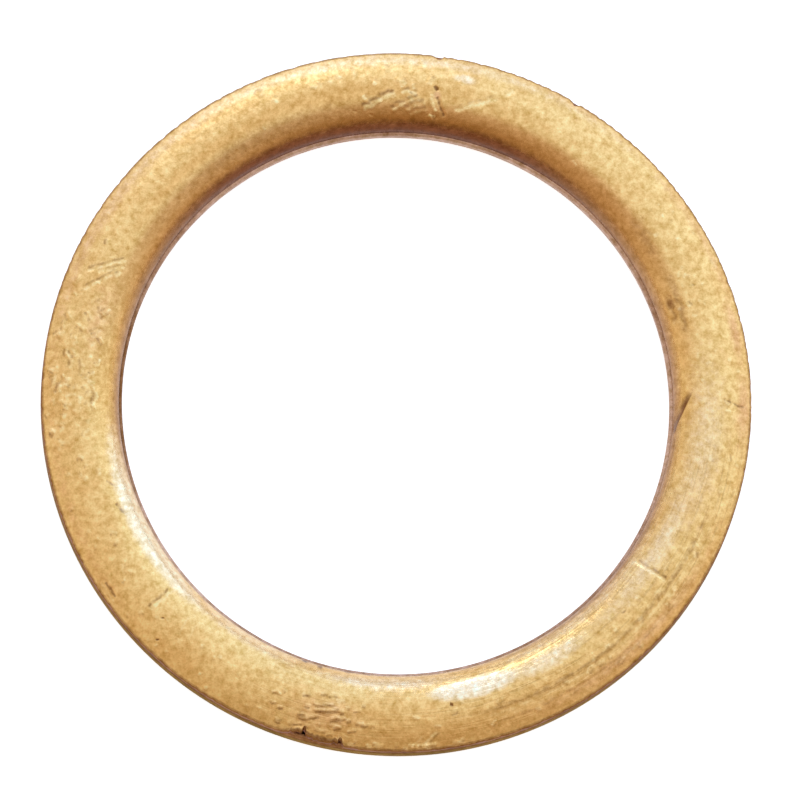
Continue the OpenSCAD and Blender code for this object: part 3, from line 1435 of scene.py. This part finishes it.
@dataclass(frozen=True)
class ShadeZone:
    """A zone of the crown beside the bore, painted darker as shade where the shoulder faces away from the
    light.

    Radius gives the two radii between which it fades out, in millimetres. Sector gives its middle,
    its half width and its softness, in degrees.
    """

    colour: Colour
    radius: Point
    sector: Triple


@dataclass(frozen=True)
class CrownFinish(CopperFinish):
    """The crown's finish: smooth where the sheet was drawn down into the bore, rough on top.

    A streak sector is a middle, a half width and a softness in degrees, and a strength.
    """

    rough_swing: float = 0.06
    # Painted shade on the bore's north side, where the shoulder faces away from the light, darkest at its
    # foot
    shade_zones: tuple[ShadeZone, ...] = (
        ShadeZone((0.66, 0.32, 0.10, 1.0), (16.3, 16.95), (93.0, 45.0, 50.0)),
        ShadeZone((0.52, 0.26, 0.10, 1.0), (15.3, 15.7), (70.0, 110.0, 45.0)),
        ShadeZone((0.20, 0.060, 0.018, 1.0), (15.38, 15.85), (95.0, 25.0, 52.0)),
    )
    shade_stray: float = 0.3
    smooth: float = 0.26
    smooth_r: Point = (16.5, 17.0)
    streak_sectors: tuple[tuple[float, float, float, float], ...] = (
        (315.0, 28.0, 25.0, 0.55),
        (258.0, 8.0, 12.0, 0.3),
        (150.0, 25.0, 25.0, 0.15),
    )
    streaks_per_mm: float = 9.0
    streak_shade: float = 0.3
    streak_depth: float = 0.8

    def sheet_colour(self, base: Patterns) -> Socket:
        """Wire the unmarked crown's colour, with painted shade that darkens it towards the foot on the bore's
        far side.

        Args:
            base: The material's patterns.

        Returns:
            The colour.
        """
        graph = base.graph
        colour = super().sheet_colour(base)
        radius = graph.maths("MULTIPLY_ADD", base.stray(), self.shade_stray, base.ring.outputs["Radius"])
        # The zones paint shade over the colour towards the foot
        for zone in self.shade_zones:
            turn = self.sector_share(base, zone.sector)
            inside = graph.ramp(radius, *zone.radius, (1.0, 0.0))
            colour = graph.blend(graph.maths("MULTIPLY", inside, turn), colour, zone.colour)
        shade = graph.maths("MULTIPLY_ADD", self.streaks(base), -self.streak_shade, 1.0)
        return graph.scale(colour, shade)

    def sector_share(self, base: Patterns, sector: Triple) -> Socket:
        """Wire how far a place lies inside a stretch of the ring.

        Args:
            base: The material's patterns.
            sector: The stretch's middle, half width and softness, in degrees.

        Returns:
            The share, from 0 to 1.
        """
        middle, half, soft = sector
        group = Sector().place(base.graph, Place=base.place, Middle=middle, Half_width=half, Softness=soft)
        return group.outputs["Share"]

    def streaks(self, base: Patterns) -> Socket:
        """Wire the fine lines round the ring, in the stretches that have them.

        Args:
            base: The material's patterns.

        Returns:
            The lines' mask.
        """
        graph = base.graph
        total: Socket | float = 0.0
        for *sector, strength in self.streak_sectors:
            total = graph.maths("MULTIPLY_ADD", self.sector_share(base, sector), strength, total)
        path = base.attribute("path")
        lines = Streaks().place(graph, Place=base.place, Path=path, Per_mm=self.streaks_per_mm)
        return graph.maths("MULTIPLY", lines.outputs["Share"], total)

    def surface_height(self, base: Patterns) -> Socket:
        """Wire the fine relief, with the lines round the ring pressed into it."""
        height = super().surface_height(base)
        return base.graph.maths("MULTIPLY_ADD", self.streaks(base), -self.streak_depth, height)

    def gloss(self, base: Patterns) -> Socket:
        """Wire the roughness, lower on the smooth shoulder than on the rough top.

        Args:
            base: The material's patterns.

        Returns:
            The roughness.
        """
        graph = base.graph
        radius = graph.maths("ADD", base.ring.outputs["Radius"], base.stray())
        zone = graph.ramp(radius, *self.smooth_r, (self.smooth, self.roughness))
        return graph.maths("ADD", zone, self.swing(base))


@dataclass(frozen=True)
class WallFinish(CopperFinish):
    """The outer wall's finish: dull tan darkened as painted shade, and red-brown painted shade under the
    seam.

    Its height pair gives the heights between which the painted shade under the seam sets in, in millimetres.
    """

    # Red-brown painted shade under the rim's overhang
    seam_shade: Colour = (0.27, 0.10, 0.045, 1.0)
    seam_shade_h: Point = (0.85, 1.35)
    height_stray: float = 1.2

    def sheet_colour(self, base: Patterns) -> Socket:
        """Wire the unmarked wall's colour, with painted shade below the seam.

        Args:
            base: The material's patterns.

        Returns:
            The colour.
        """
        graph = base.graph
        colour = super().sheet_colour(base)
        height = graph.maths("MULTIPLY_ADD", base.stray(), self.height_stray, base.ring.outputs["Height"])
        return graph.blend(graph.ramp(height, *self.seam_shade_h), colour, self.seam_shade)


class Surface(Enum):
    """The ring's surfaces, each with its own finish, in the order of their material slots."""

    CROWN = 0
    WALL = 1
    LAND = 2
    HOLLOW = 3
    CUT = 4


FINISHES = {
    Surface.CROWN: CrownFinish(
        "crown_copper", (0.93, 0.58, 0.21, 1.0), (0.80, 0.43, 0.13, 1.0), tarnish_share=0.4
    ),
    # The wall's copper is darkened as painted shade, for the shadowed floor beside the ring that it mirrors
    Surface.WALL: WallFinish(
        "wall_copper",
        (0.48, 0.265, 0.09, 1.0),
        (0.27, 0.135, 0.045, 1.0),
        tarnish_share=0.7,
        grazing=(0.62, 0.56, 0.36, 1.0),
    ),
    Surface.LAND: CopperFinish(
        "land_copper", (0.70, 0.45, 0.31, 1.0), (0.48, 0.26, 0.16, 1.0), tarnish_share=0.6
    ),
    Surface.HOLLOW: CopperFinish(
        "hollow_copper", (0.45, 0.22, 0.15, 1.0), (0.26, 0.11, 0.07, 1.0), tarnish_share=0.8, roughness=0.6
    ),
    Surface.CUT: CopperFinish(
        "cut_copper",
        (0.40, 0.18, 0.07, 1.0),
        (0.24, 0.09, 0.03, 1.0),
        tarnish_share=0.7,
        roughness=0.5,
        grazing=(0.9, 0.65, 0.4, 1.0),
    ),
}


# The ring


def read_all(elements: bpy.types.bpy_prop_collection, name: str, kind: type, width: int = 1) -> np.ndarray:
    """Read one property of all of a mesh's elements.

    Args:
        elements: The elements, such as a mesh's edges.
        name: The property's name.
        kind: Type of its numbers.
        width: How many numbers an element has.

    Returns:
        The numbers, one row for each element where it has more than one.
    """
    values = np.zeros(width * len(elements), kind)
    elements.foreach_get(name, values)
    return values.reshape(-1, width) if width > 1 else values


def face_corners(mesh: bpy.types.Mesh) -> tuple[np.ndarray, np.ndarray, np.ndarray]:
    """Read the corners of a mesh's faces.

    Args:
        mesh: The mesh.

    Returns:
        The vertex at each corner, where each face's corners start and how many it has.
    """
    corners = read_all(mesh.loops, "vertex_index", np.int32)
    starts = read_all(mesh.polygons, "loop_start", np.int32)
    return corners, starts, read_all(mesh.polygons, "loop_total", np.int32)


@dataclass
class SealingRing:
    """The ring: its section, its marks and how finely its skin is divided.

    The spun shell has so many columns, each of which is cut fine_cuts times where the eye meets
    it, down to under_reach below the rim. A face is divided again within near_widths of a mark,
    for the first and for the second time, and near_margin, which the second time halves. Round a
    tear it is divided down to torn_under below the rim. A mark is felt within mark_widths. The rim
    is worn back by up to rim_wear in patches of wear_size, and the skin beside it is drawn in over
    wear_reach. Octaves are the waviness's sizes and heights in millimetres. The skin stays
    facet_sag inside its outer radius, as the flats of the CAD model's rim do.
    """

    section: SheetSection
    marks: tuple[Mark, ...] = SCRATCHES + CRACKS + LONG_GROOVES + CREASES + BURRS + DENTS
    scatters: tuple[Scatter, ...] = SCATTERS
    tint_patches: tuple[TintPatch, ...] = TINT_PATCHES
    torn_edges: tuple[TornEdge, ...] = TORN_EDGES
    columns: int = 216
    facet_sag: float = 0.0036 * MM
    fine_cuts: int = 2
    under_reach: float = 0.5 * MM
    near_widths: Point = (2.2, 1.6)
    near_margin: float = 0.11 * MM
    torn_under: float = 0.4 * MM
    mark_widths: float = 6.0
    rim_wear: float = 0.045 * MM
    wear_size: float = 0.5 * MM
    wear_reach: float = 0.12 * MM
    octaves: tuple[Point, ...] = ((1.4, 0.006), (0.55, 0.003), (0.3, 0.0016))
    seed: int = 7
    outline: Outline = field(init=False)

    def __post_init__(self) -> None:
        """Lay out the section's outline, and scatter the small marks."""
        self.outline = Outline.of(self.section)
        for scatter in self.scatters:
            self.marks += scatter.marks()

    def build(self) -> bpy.types.Object:
        """Model the ring.

        Returns:
            The finished piece, which rides on the root body and stands for the CAD node.
        """
        ring = self.spin_section()
        self.divide_visible_skin(ring)
        for level in (1, 2):
            self.divide_near_marks(ring, level)
        self.shape(ring)
        self.dress(ring)
        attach(ring, "root")
        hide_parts(RING_NODE)
        return ring

    def spin_section(self) -> bpy.types.Object:
        """Spin the section's loop round the axis.

        Returns:
            The closed shell, with the distance along the sheet as an attribute.
        """
        outline = self.outline
        deselect_all()
        bpy.ops.mesh.primitive_circle_add(
            vertices=len(outline.radius), radius=self.section.crown_h, fill_type="NOTHING"
        )
        ring = bpy.context.active_object
        ring.name = "sealing_ring"
        ring.data.name = ring.name
        for vertex, r, z in zip(ring.data.vertices, outline.radius, outline.height):
            vertex.co = (r, 0.0, z)
        path = ring.data.attributes.new("path", "FLOAT", "POINT")
        path.data.foreach_set("value", outline.distance.astype(np.float32))
        bpy.ops.object.mode_set(mode="EDIT")
        bpy.ops.mesh.select_all(action="SELECT")
        bpy.ops.mesh.spin(
            steps=self.columns,
            angle=2 * math.pi,
            use_auto_merge=True,
            center=(0, 0, 0),
            axis=(0, 0, 1),
        )
        bpy.ops.mesh.select_all(action="SELECT")
        bpy.ops.mesh.remove_doubles(threshold=SAME_PLACE)
        bpy.ops.mesh.normals_make_consistent(inside=False)
        bpy.ops.object.mode_set(mode="OBJECT")
        return ring

    def path_of(self, ring: bpy.types.Object) -> np.ndarray:
        """Read the distance along the sheet at each vertex."""
        return read_all(ring.data.attributes["path"].data, "value", np.float32).astype(float)

    def places_of(self, ring: bpy.types.Object) -> tuple[np.ndarray, Places]:
        """Read each vertex's point and its place on the sheet.

        Args:
            ring: The piece.

        Returns:
            The points, one row for each vertex, and the places.
        """
        points = read_all(ring.data.vertices, "co", float, 3)
        direction = np.degrees(np.arctan2(points[:, 1], points[:, 0])) % FULL_TURN
        return points, Places(direction, self.path_of(ring), self.outline)

    def divide(self, ring: bpy.types.Object, elements: str, chosen: np.ndarray, cuts: int) -> None:
        """Subdivide some edges or faces.

        Args:
            ring: The piece.
            elements: The kind of element chosen, "edges" or "polygons".
            chosen: Whether each of them is divided.
            cuts: Number of cuts in each.
        """
        mesh = ring.data
        for kind in ("vertices", "edges", "polygons"):
            group = getattr(mesh, kind)
            group.foreach_set("select", np.zeros(len(group), bool))
        getattr(mesh, elements).foreach_set("select", chosen)
        tool_settings = bpy.context.scene.tool_settings
        tool_settings.mesh_select_mode = (False, elements == "edges", elements == "polygons")
        bpy.ops.object.mode_set(mode="EDIT")
        bpy.ops.mesh.subdivide(number_cuts=cuts, ngon=False)
        bpy.ops.object.mode_set(mode="OBJECT")

    def divide_visible_skin(self, ring: bpy.types.Object) -> None:
        """Divide the columns of the skin that the eye meets, and set them back on their circles.

        Args:
            ring: The piece.
        """
        mesh = ring.data
        ends = read_all(mesh.edges, "vertices", np.int32, 2)
        first, second = self.path_of(ring)[ends].T
        level = np.abs(first - second) < SAME_PLACE
        visible = (first > -self.under_reach) & (first < self.outline.stations["land"][1])
        self.divide(ring, "edges", level & visible, self.fine_cuts)
        points, place = self.places_of(ring)
        cell = FULL_TURN / self.columns
        off_middle = (place.direction % cell) - cell / 2
        grow = np.cos(np.radians(off_middle)) / math.cos(math.radians(cell / 2))
        points[:, :2] *= grow[:, None]
        mesh.vertices.foreach_set("co", points.ravel())

    def divide_near_marks(self, ring: bpy.types.Object, level: int) -> None:
        """Divide the faces near the marks that ask for it.

        Args:
            ring: The piece.
            level: How often a mark is divided at least, to count here.
        """
        _, place = self.places_of(ring)
        near = np.zeros(len(place), bool)
        widths = self.near_widths[level - 1]
        margin = self.near_margin / level
        for mark in self.marks:
            if mark.levels >= level:
                signed, _ = mark.measure(place)
                near |= np.abs(signed) < widths * mark.width * MM + margin
        for torn in self.torn_edges:
            past_edge = place.distance - self.section.sheet_t
            on_rim = (place.distance > -self.torn_under) & (past_edge < torn.reach * MM)
            near |= (torn.torn(place.direction) > 0) & on_rim
        near &= place.distance < self.outline.stations["crown"][1]
        corners, starts, totals = face_corners(ring.data)
        touched = np.add.reduceat(near[corners].astype(int), starts)
        self.divide(ring, "polygons", touched >= np.maximum(totals - 1, 2), 1)

    def shape(self, ring: bpy.types.Object) -> None:
        """Press the marks, the torn edges and the sheet's waviness into the skin; store stains, painted shade
        and highlights.

        Args:
            ring: The piece.
        """
        mesh = ring.data
        points, place = self.places_of(ring)
        lift = np.zeros(len(place))
        tints = {tint: np.zeros(len(place)) for tint in Tint}
        skin = place.distance > self.section.sheet_t
        skin &= place.distance < self.outline.stations["crown"][1]
        for mark in self.marks:
            signed, share = mark.measure(place)
            near = skin & (np.abs(signed) < self.mark_widths * mark.width * MM)
            whole = mark.wholeness(place, near)
            lift[near] += mark.lift(signed[near], share[near])
            # A mark's dark side is painted shade and its bright line a painted highlight
            for tint, darkened_or_brightened in zip((Tint.DIRT, Tint.RUBBED), mark.soil_and_light(signed[near], share[near])):
                tints[tint][near] = np.maximum(tints[tint][near], whole * darkened_or_brightened)
        # The patches lay stains, painted shade and painted highlights
        for patch in self.tint_patches:
            tints[patch.tint] = np.maximum(tints[patch.tint], patch.share(place))
        lift += self.waviness(points, place)
        normal = self.outline.normal(place.distance)
        radius = np.hypot(points[:, 0], points[:, 1])
        height = points[:, 2] + lift * normal[:, 1]
        moved = radius + lift * normal[:, 0] - self.torn_back(place)
        moved = np.minimum(moved, self.section.outer_r - self.facet_sag)
        points[:, :2] *= (moved / radius)[:, None]
        points[:, 2] = np.clip(height, 0.0, self.section.crown_h)
        mesh.vertices.foreach_set("co", points.ravel())
        for tint, values in tints.items():
            attribute = mesh.attributes.new(tint.value, "FLOAT", "POINT")
            attribute.data.foreach_set("value", np.clip(values, 0.0, 1.0).astype(np.float32))
        mesh.update()

    def torn_back(self, place: Places) -> np.ndarray:
        """Return how far each place is drawn in by the rim's wear, its tear and its nicks.

        Args:
            place: The places on the sheet.

        Returns:
            Distances towards the axis.
        """
        turn = np.radians(place.direction)
        rim = self.section.outer_r * np.stack([np.cos(turn), np.sin(turn)], axis=1)
        worn = self.rim_wear * np.clip(wander(rim, self.wear_size, self.seed), 0.0, 1.0)
        stretches = [(worn, self.wear_reach)]
        stretches += [(torn.torn(place.direction), torn.reach * MM) for torn in self.torn_edges]
        moved = np.zeros(len(place))
        edge_end = self.outline.stations["rim edge"][1]
        for depth, least_reach in stretches:
            reach = least_reach + depth
            over = smooth_step(0.0, 1.0, 1.0 - (place.distance - edge_end) / reach)
            under = smooth_step(0.0, 1.0, 1.0 + place.distance / reach)
            share = np.where(place.distance > edge_end, over, np.where(place.distance < 0, under, 1.0))
            moved += depth * share
        return moved

    def waviness(self, points: np.ndarray, place: Places) -> np.ndarray:
        """Return the slight waviness of the skin that the eye meets.

        Args:
            points: The vertices' points.
            place: Their places on the sheet.

        Returns:
            The lift at each vertex.
        """
        visible = (place.distance > 0.0) & (place.distance < self.outline.stations["land"][1])
        lift = np.zeros(len(place))
        shift = Vector((self.seed, 2 * self.seed, 3 * self.seed))
        for i in np.flatnonzero(visible):
            p = Vector(points[i]) / MM
            lift[i] = sum(h * noise.noise(p / size + shift) for size, h in self.octaves)
        return lift * MM

    def dress(self, ring: bpy.types.Object) -> None:
        """Give each surface of the ring its finish.

        Args:
            ring: The piece.
        """
        mesh = ring.data
        for surface in Surface:
            mesh.materials.append(FINISHES[surface].material())
        corners, starts, totals = face_corners(mesh)
        path = self.path_of(ring)[corners]
        middle = np.add.reduceat(path, starts) / totals
        spread = np.maximum.reduceat(path, starts) - np.minimum.reduceat(path, starts)
        stations = self.outline.stations
        crown_end, flat_start, wall_end = stations["crown"][1], stations["flat"][0], stations["wall"][1]
        edge_end, cut_end = stations["rim edge"][1], wall_end + self.section.sheet_t
        surface = np.full(len(mesh.polygons), Surface.HOLLOW.value)
        for kind, low, high in (
            (Surface.CROWN, edge_end, crown_end),
            (Surface.LAND, crown_end, flat_start),
            (Surface.WALL, flat_start, wall_end),
            (Surface.CUT, 0.0, edge_end),
            (Surface.CUT, wall_end, cut_end),
        ):
            surface[(middle > low) & (middle < high)] = kind.value
        closes_loop = spread > self.section.crown_h
        surface[closes_loop] = Surface.HOLLOW.value
        mesh.polygons.foreach_set("material_index", surface.astype(np.int32))
        mesh.polygons.foreach_set("use_smooth", np.ones(len(mesh.polygons), bool))


# The studio


def sky_point(bearing: float, height: float) -> Vector:
    """Find a direction of the surroundings.

    Args:
        bearing: Its direction round the ring, in degrees.
        height: How high it stands over the floor, in degrees.

    Returns:
        The direction, as a vector of length 1.
    """
    bearing, height = math.radians(bearing), math.radians(height)
    level = math.cos(height)
    return Vector((level * math.cos(bearing), level * math.sin(bearing), math.sin(height)))


@dataclass(frozen=True)
class Glow:
    """A soft patch of the surroundings: where it lies, how tight it is and what light it adds."""

    bearing: float
    height: float
    tightness: float
    light: Triple

    def wire(self, graph: NodeGraph, direction: Socket) -> Socket:
        """Wire the light that the patch adds in a direction.

        Args:
            graph: The world's graph.
            direction: The direction looked at.

        Returns:
            The light, strongest at the patch's middle.
        """
        middle = tuple(sky_point(self.bearing, self.height))
        off = graph.maths("SUBTRACT", graph.dot(direction, middle), 1.0)
        share = graph.maths("EXPONENT", graph.maths("MULTIPLY", off, self.tightness))
        return graph.scale(self.light, share)


@dataclass
class Studio:
    """The pale floor, the light and the camera.

    The floor lies floor_gap under the ring's flat face, so that the two are never one surface. Its
    glow is what it adds to its own light for the camera, and its mirrored glow for reflections.
    Room is the even light of the surroundings. Tilt is how far the camera leans from upright,
    towards its bearing, and the two aims say how far beside the ring's middle it looks.
    """

    floor_size: float = 0.6
    floor_gap: float = 0.02 * MM
    paper: float = 0.8
    floor_glow: float = 0.7
    mirrored_glow: float = 0.3
    room: Triple = (0.82, 0.79, 0.74)
    least_light: Triple = (0.02, 0.02, 0.02)
    glows: tuple[Glow, ...] = (
        Glow(100.0, 30.0, 4.0, (0.02, 0.26, 0.80)),
        Glow(40.0, 20.0, 8.0, (0.20, 0.40, 0.70)),
        Glow(10.0, 60.0, 4.5, (0.15, 0.34, 0.60)),
        Glow(268.0, 25.0, 4.0, (-0.42, -0.50, -0.58)),
    )
    lamp_bearing: float = 104.0
    lamp_height: float = 32.0
    lamp_distance: float = 0.5
    lamp_size: Point = (0.20, 0.16)
    lamp_colour: Triple = (0.9, 0.96, 1.0)
    lamp_power: float = 0.17
    tilt: float = 11.0
    bearing: float = 258.0
    frame_width: float = 43.83 * MM
    aim_right: float = 0.261 * MM
    aim_up: float = 0.42 * MM
    lens: float = 1000.0
    sensor: float = 36.0
    clip_distances: float = 10.0

    def build(self) -> None:
        """Set up the floor, the world, the lamp, the camera and the view settings."""
        self.add_floor()
        self.light_world()
        self.add_lamp()
        self.add_camera()
        bpy.context.scene.view_settings.view_transform = "Standard"

    def add_floor(self) -> None:
        """Lay the floor under the ring.

        It is white to the camera and in reflections and still holds a shadow. From below it is
        clear, so that the ring's flat face can be looked at.
        """
        deselect_all()
        bpy.ops.mesh.primitive_plane_add(size=self.floor_size, location=(0.0, 0.0, -self.floor_gap))
        bpy.ops.object.transform_apply(location=True, rotation=False, scale=False)
        floor = bpy.context.active_object
        floor.name = "floor"
        material = bpy.data.materials.new("floor_white")
        material.use_nodes = True
        graph = NodeGraph(material.node_tree)
        paper = graph.add("ShaderNodeBsdfDiffuse")
        graph.feed(paper.inputs["Color"], (self.paper, self.paper, self.paper, 1.0))
        rays = graph.add("ShaderNodeLightPath").outputs
        mirrored = graph.maths("MAXIMUM", rays["Is Glossy Ray"], rays["Is Transmission Ray"])
        seen = graph.maths("MULTIPLY", rays["Is Camera Ray"], self.floor_glow)
        glow = graph.add("ShaderNodeEmission")
        strength = graph.maths("MULTIPLY_ADD", mirrored, self.mirrored_glow, seen)
        graph.feed(glow.inputs["Strength"], strength)
        both = graph.add("ShaderNodeAddShader")
        graph.feed(both.inputs[0], paper.outputs["BSDF"])
        graph.feed(both.inputs[1], glow.outputs["Emission"])
        clear = graph.add("ShaderNodeBsdfTransparent")
        sheet = graph.add("ShaderNodeMixShader")
        graph.feed(sheet.inputs["Fac"], graph.add("ShaderNodeNewGeometry").outputs["Backfacing"])
        graph.feed(sheet.inputs[1], both.outputs["Shader"])
        graph.feed(sheet.inputs[2], clear.outputs["BSDF"])
        output = graph.add("ShaderNodeOutputMaterial")
        graph.feed(output.inputs["Surface"], sheet.outputs["Shader"])
        floor.data.materials.append(material)

    def light_world(self) -> None:
        """Light the world evenly, with three cool glows and a dark near side.

        The camera sees it white.
        """
        world = bpy.data.worlds.new("studio")
        bpy.context.scene.world = world
        world.use_nodes = True
        graph = NodeGraph(world.node_tree)
        direction = graph.add("ShaderNodeTexCoord").outputs["Generated"]
        light: Socket | tuple = self.room
        for glow in self.glows:
            light = graph.vector("ADD", light, glow.wire(graph, direction))
        light = graph.vector("MAXIMUM", light, self.least_light)
        rays = graph.add("ShaderNodeLightPath").outputs
        background = graph.add("ShaderNodeBackground")
        seen = graph.blend(rays["Is Camera Ray"], light, WHITE)
        graph.feed(background.inputs["Color"], seen)
        output = graph.add("ShaderNodeOutputWorld")
        graph.feed(output.inputs["Surface"], background.outputs["Background"])

    def add_lamp(self) -> None:
        """Hang one broad soft lamp at the far side, which the ring's near shoulder mirrors."""
        place = sky_point(self.lamp_bearing, self.lamp_height) * self.lamp_distance
        deselect_all()
        bpy.ops.object.light_add(type="AREA", location=place)
        lamp = bpy.context.active_object
        lamp.name = "window"
        lamp.rotation_euler = (-place).to_track_quat("-Z", "Y").to_euler()
        lamp.data.shape = "RECTANGLE"
        lamp.data.size, lamp.data.size_y = self.lamp_size
        lamp.data.energy = self.lamp_power
        lamp.data.color = self.lamp_colour

    def add_camera(self) -> None:
        """Set the camera far off, over the ring, with a long lens."""
        back = sky_point(self.bearing, FULL_TURN / 4 - self.tilt)
        up = Vector((0, 1, 0))
        up = (up - back * up.dot(back)).normalized()
        right = up.cross(back)
        aim = right * self.aim_right + up * self.aim_up
        distance = self.lens * self.frame_width / self.sensor
        deselect_all()
        bpy.ops.object.camera_add(location=aim + back * distance)
        camera = bpy.context.active_object
        camera.data.lens = self.lens
        camera.data.sensor_width = self.sensor
        camera.data.clip_end = self.clip_distances * distance
        axes = [list(row) for row in zip(right, up, back)]
        camera.rotation_euler = Matrix(axes).to_euler()
        bpy.context.scene.camera = camera


def mount_radius(name: str) -> float:
    """Return the radius of one of the record's mounts, in metres."""
    mounts = frame["record"]["mounts"]
    return next(m["dims"]["r_mm"] for m in mounts if m["name"] == name) * MM


def main() -> None:
    """Build the ring and the studio in order, and report each."""
    logging.basicConfig(level=logging.INFO, format="%(name)s: %(message)s")
    section = SheetSection(mount_radius("bore"), mount_radius("outer_wall"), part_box(RING_NODE)[1].z)
    ring = SealingRing(section).build()
    triangles = len(ring.data.loops) - 2 * len(ring.data.polygons)
    LOG.info("%s: %d triangles", ring.name, triangles)
    Studio().build()
    LOG.info("studio: floor, light and camera")


if __name__ == "__main__":
    main()
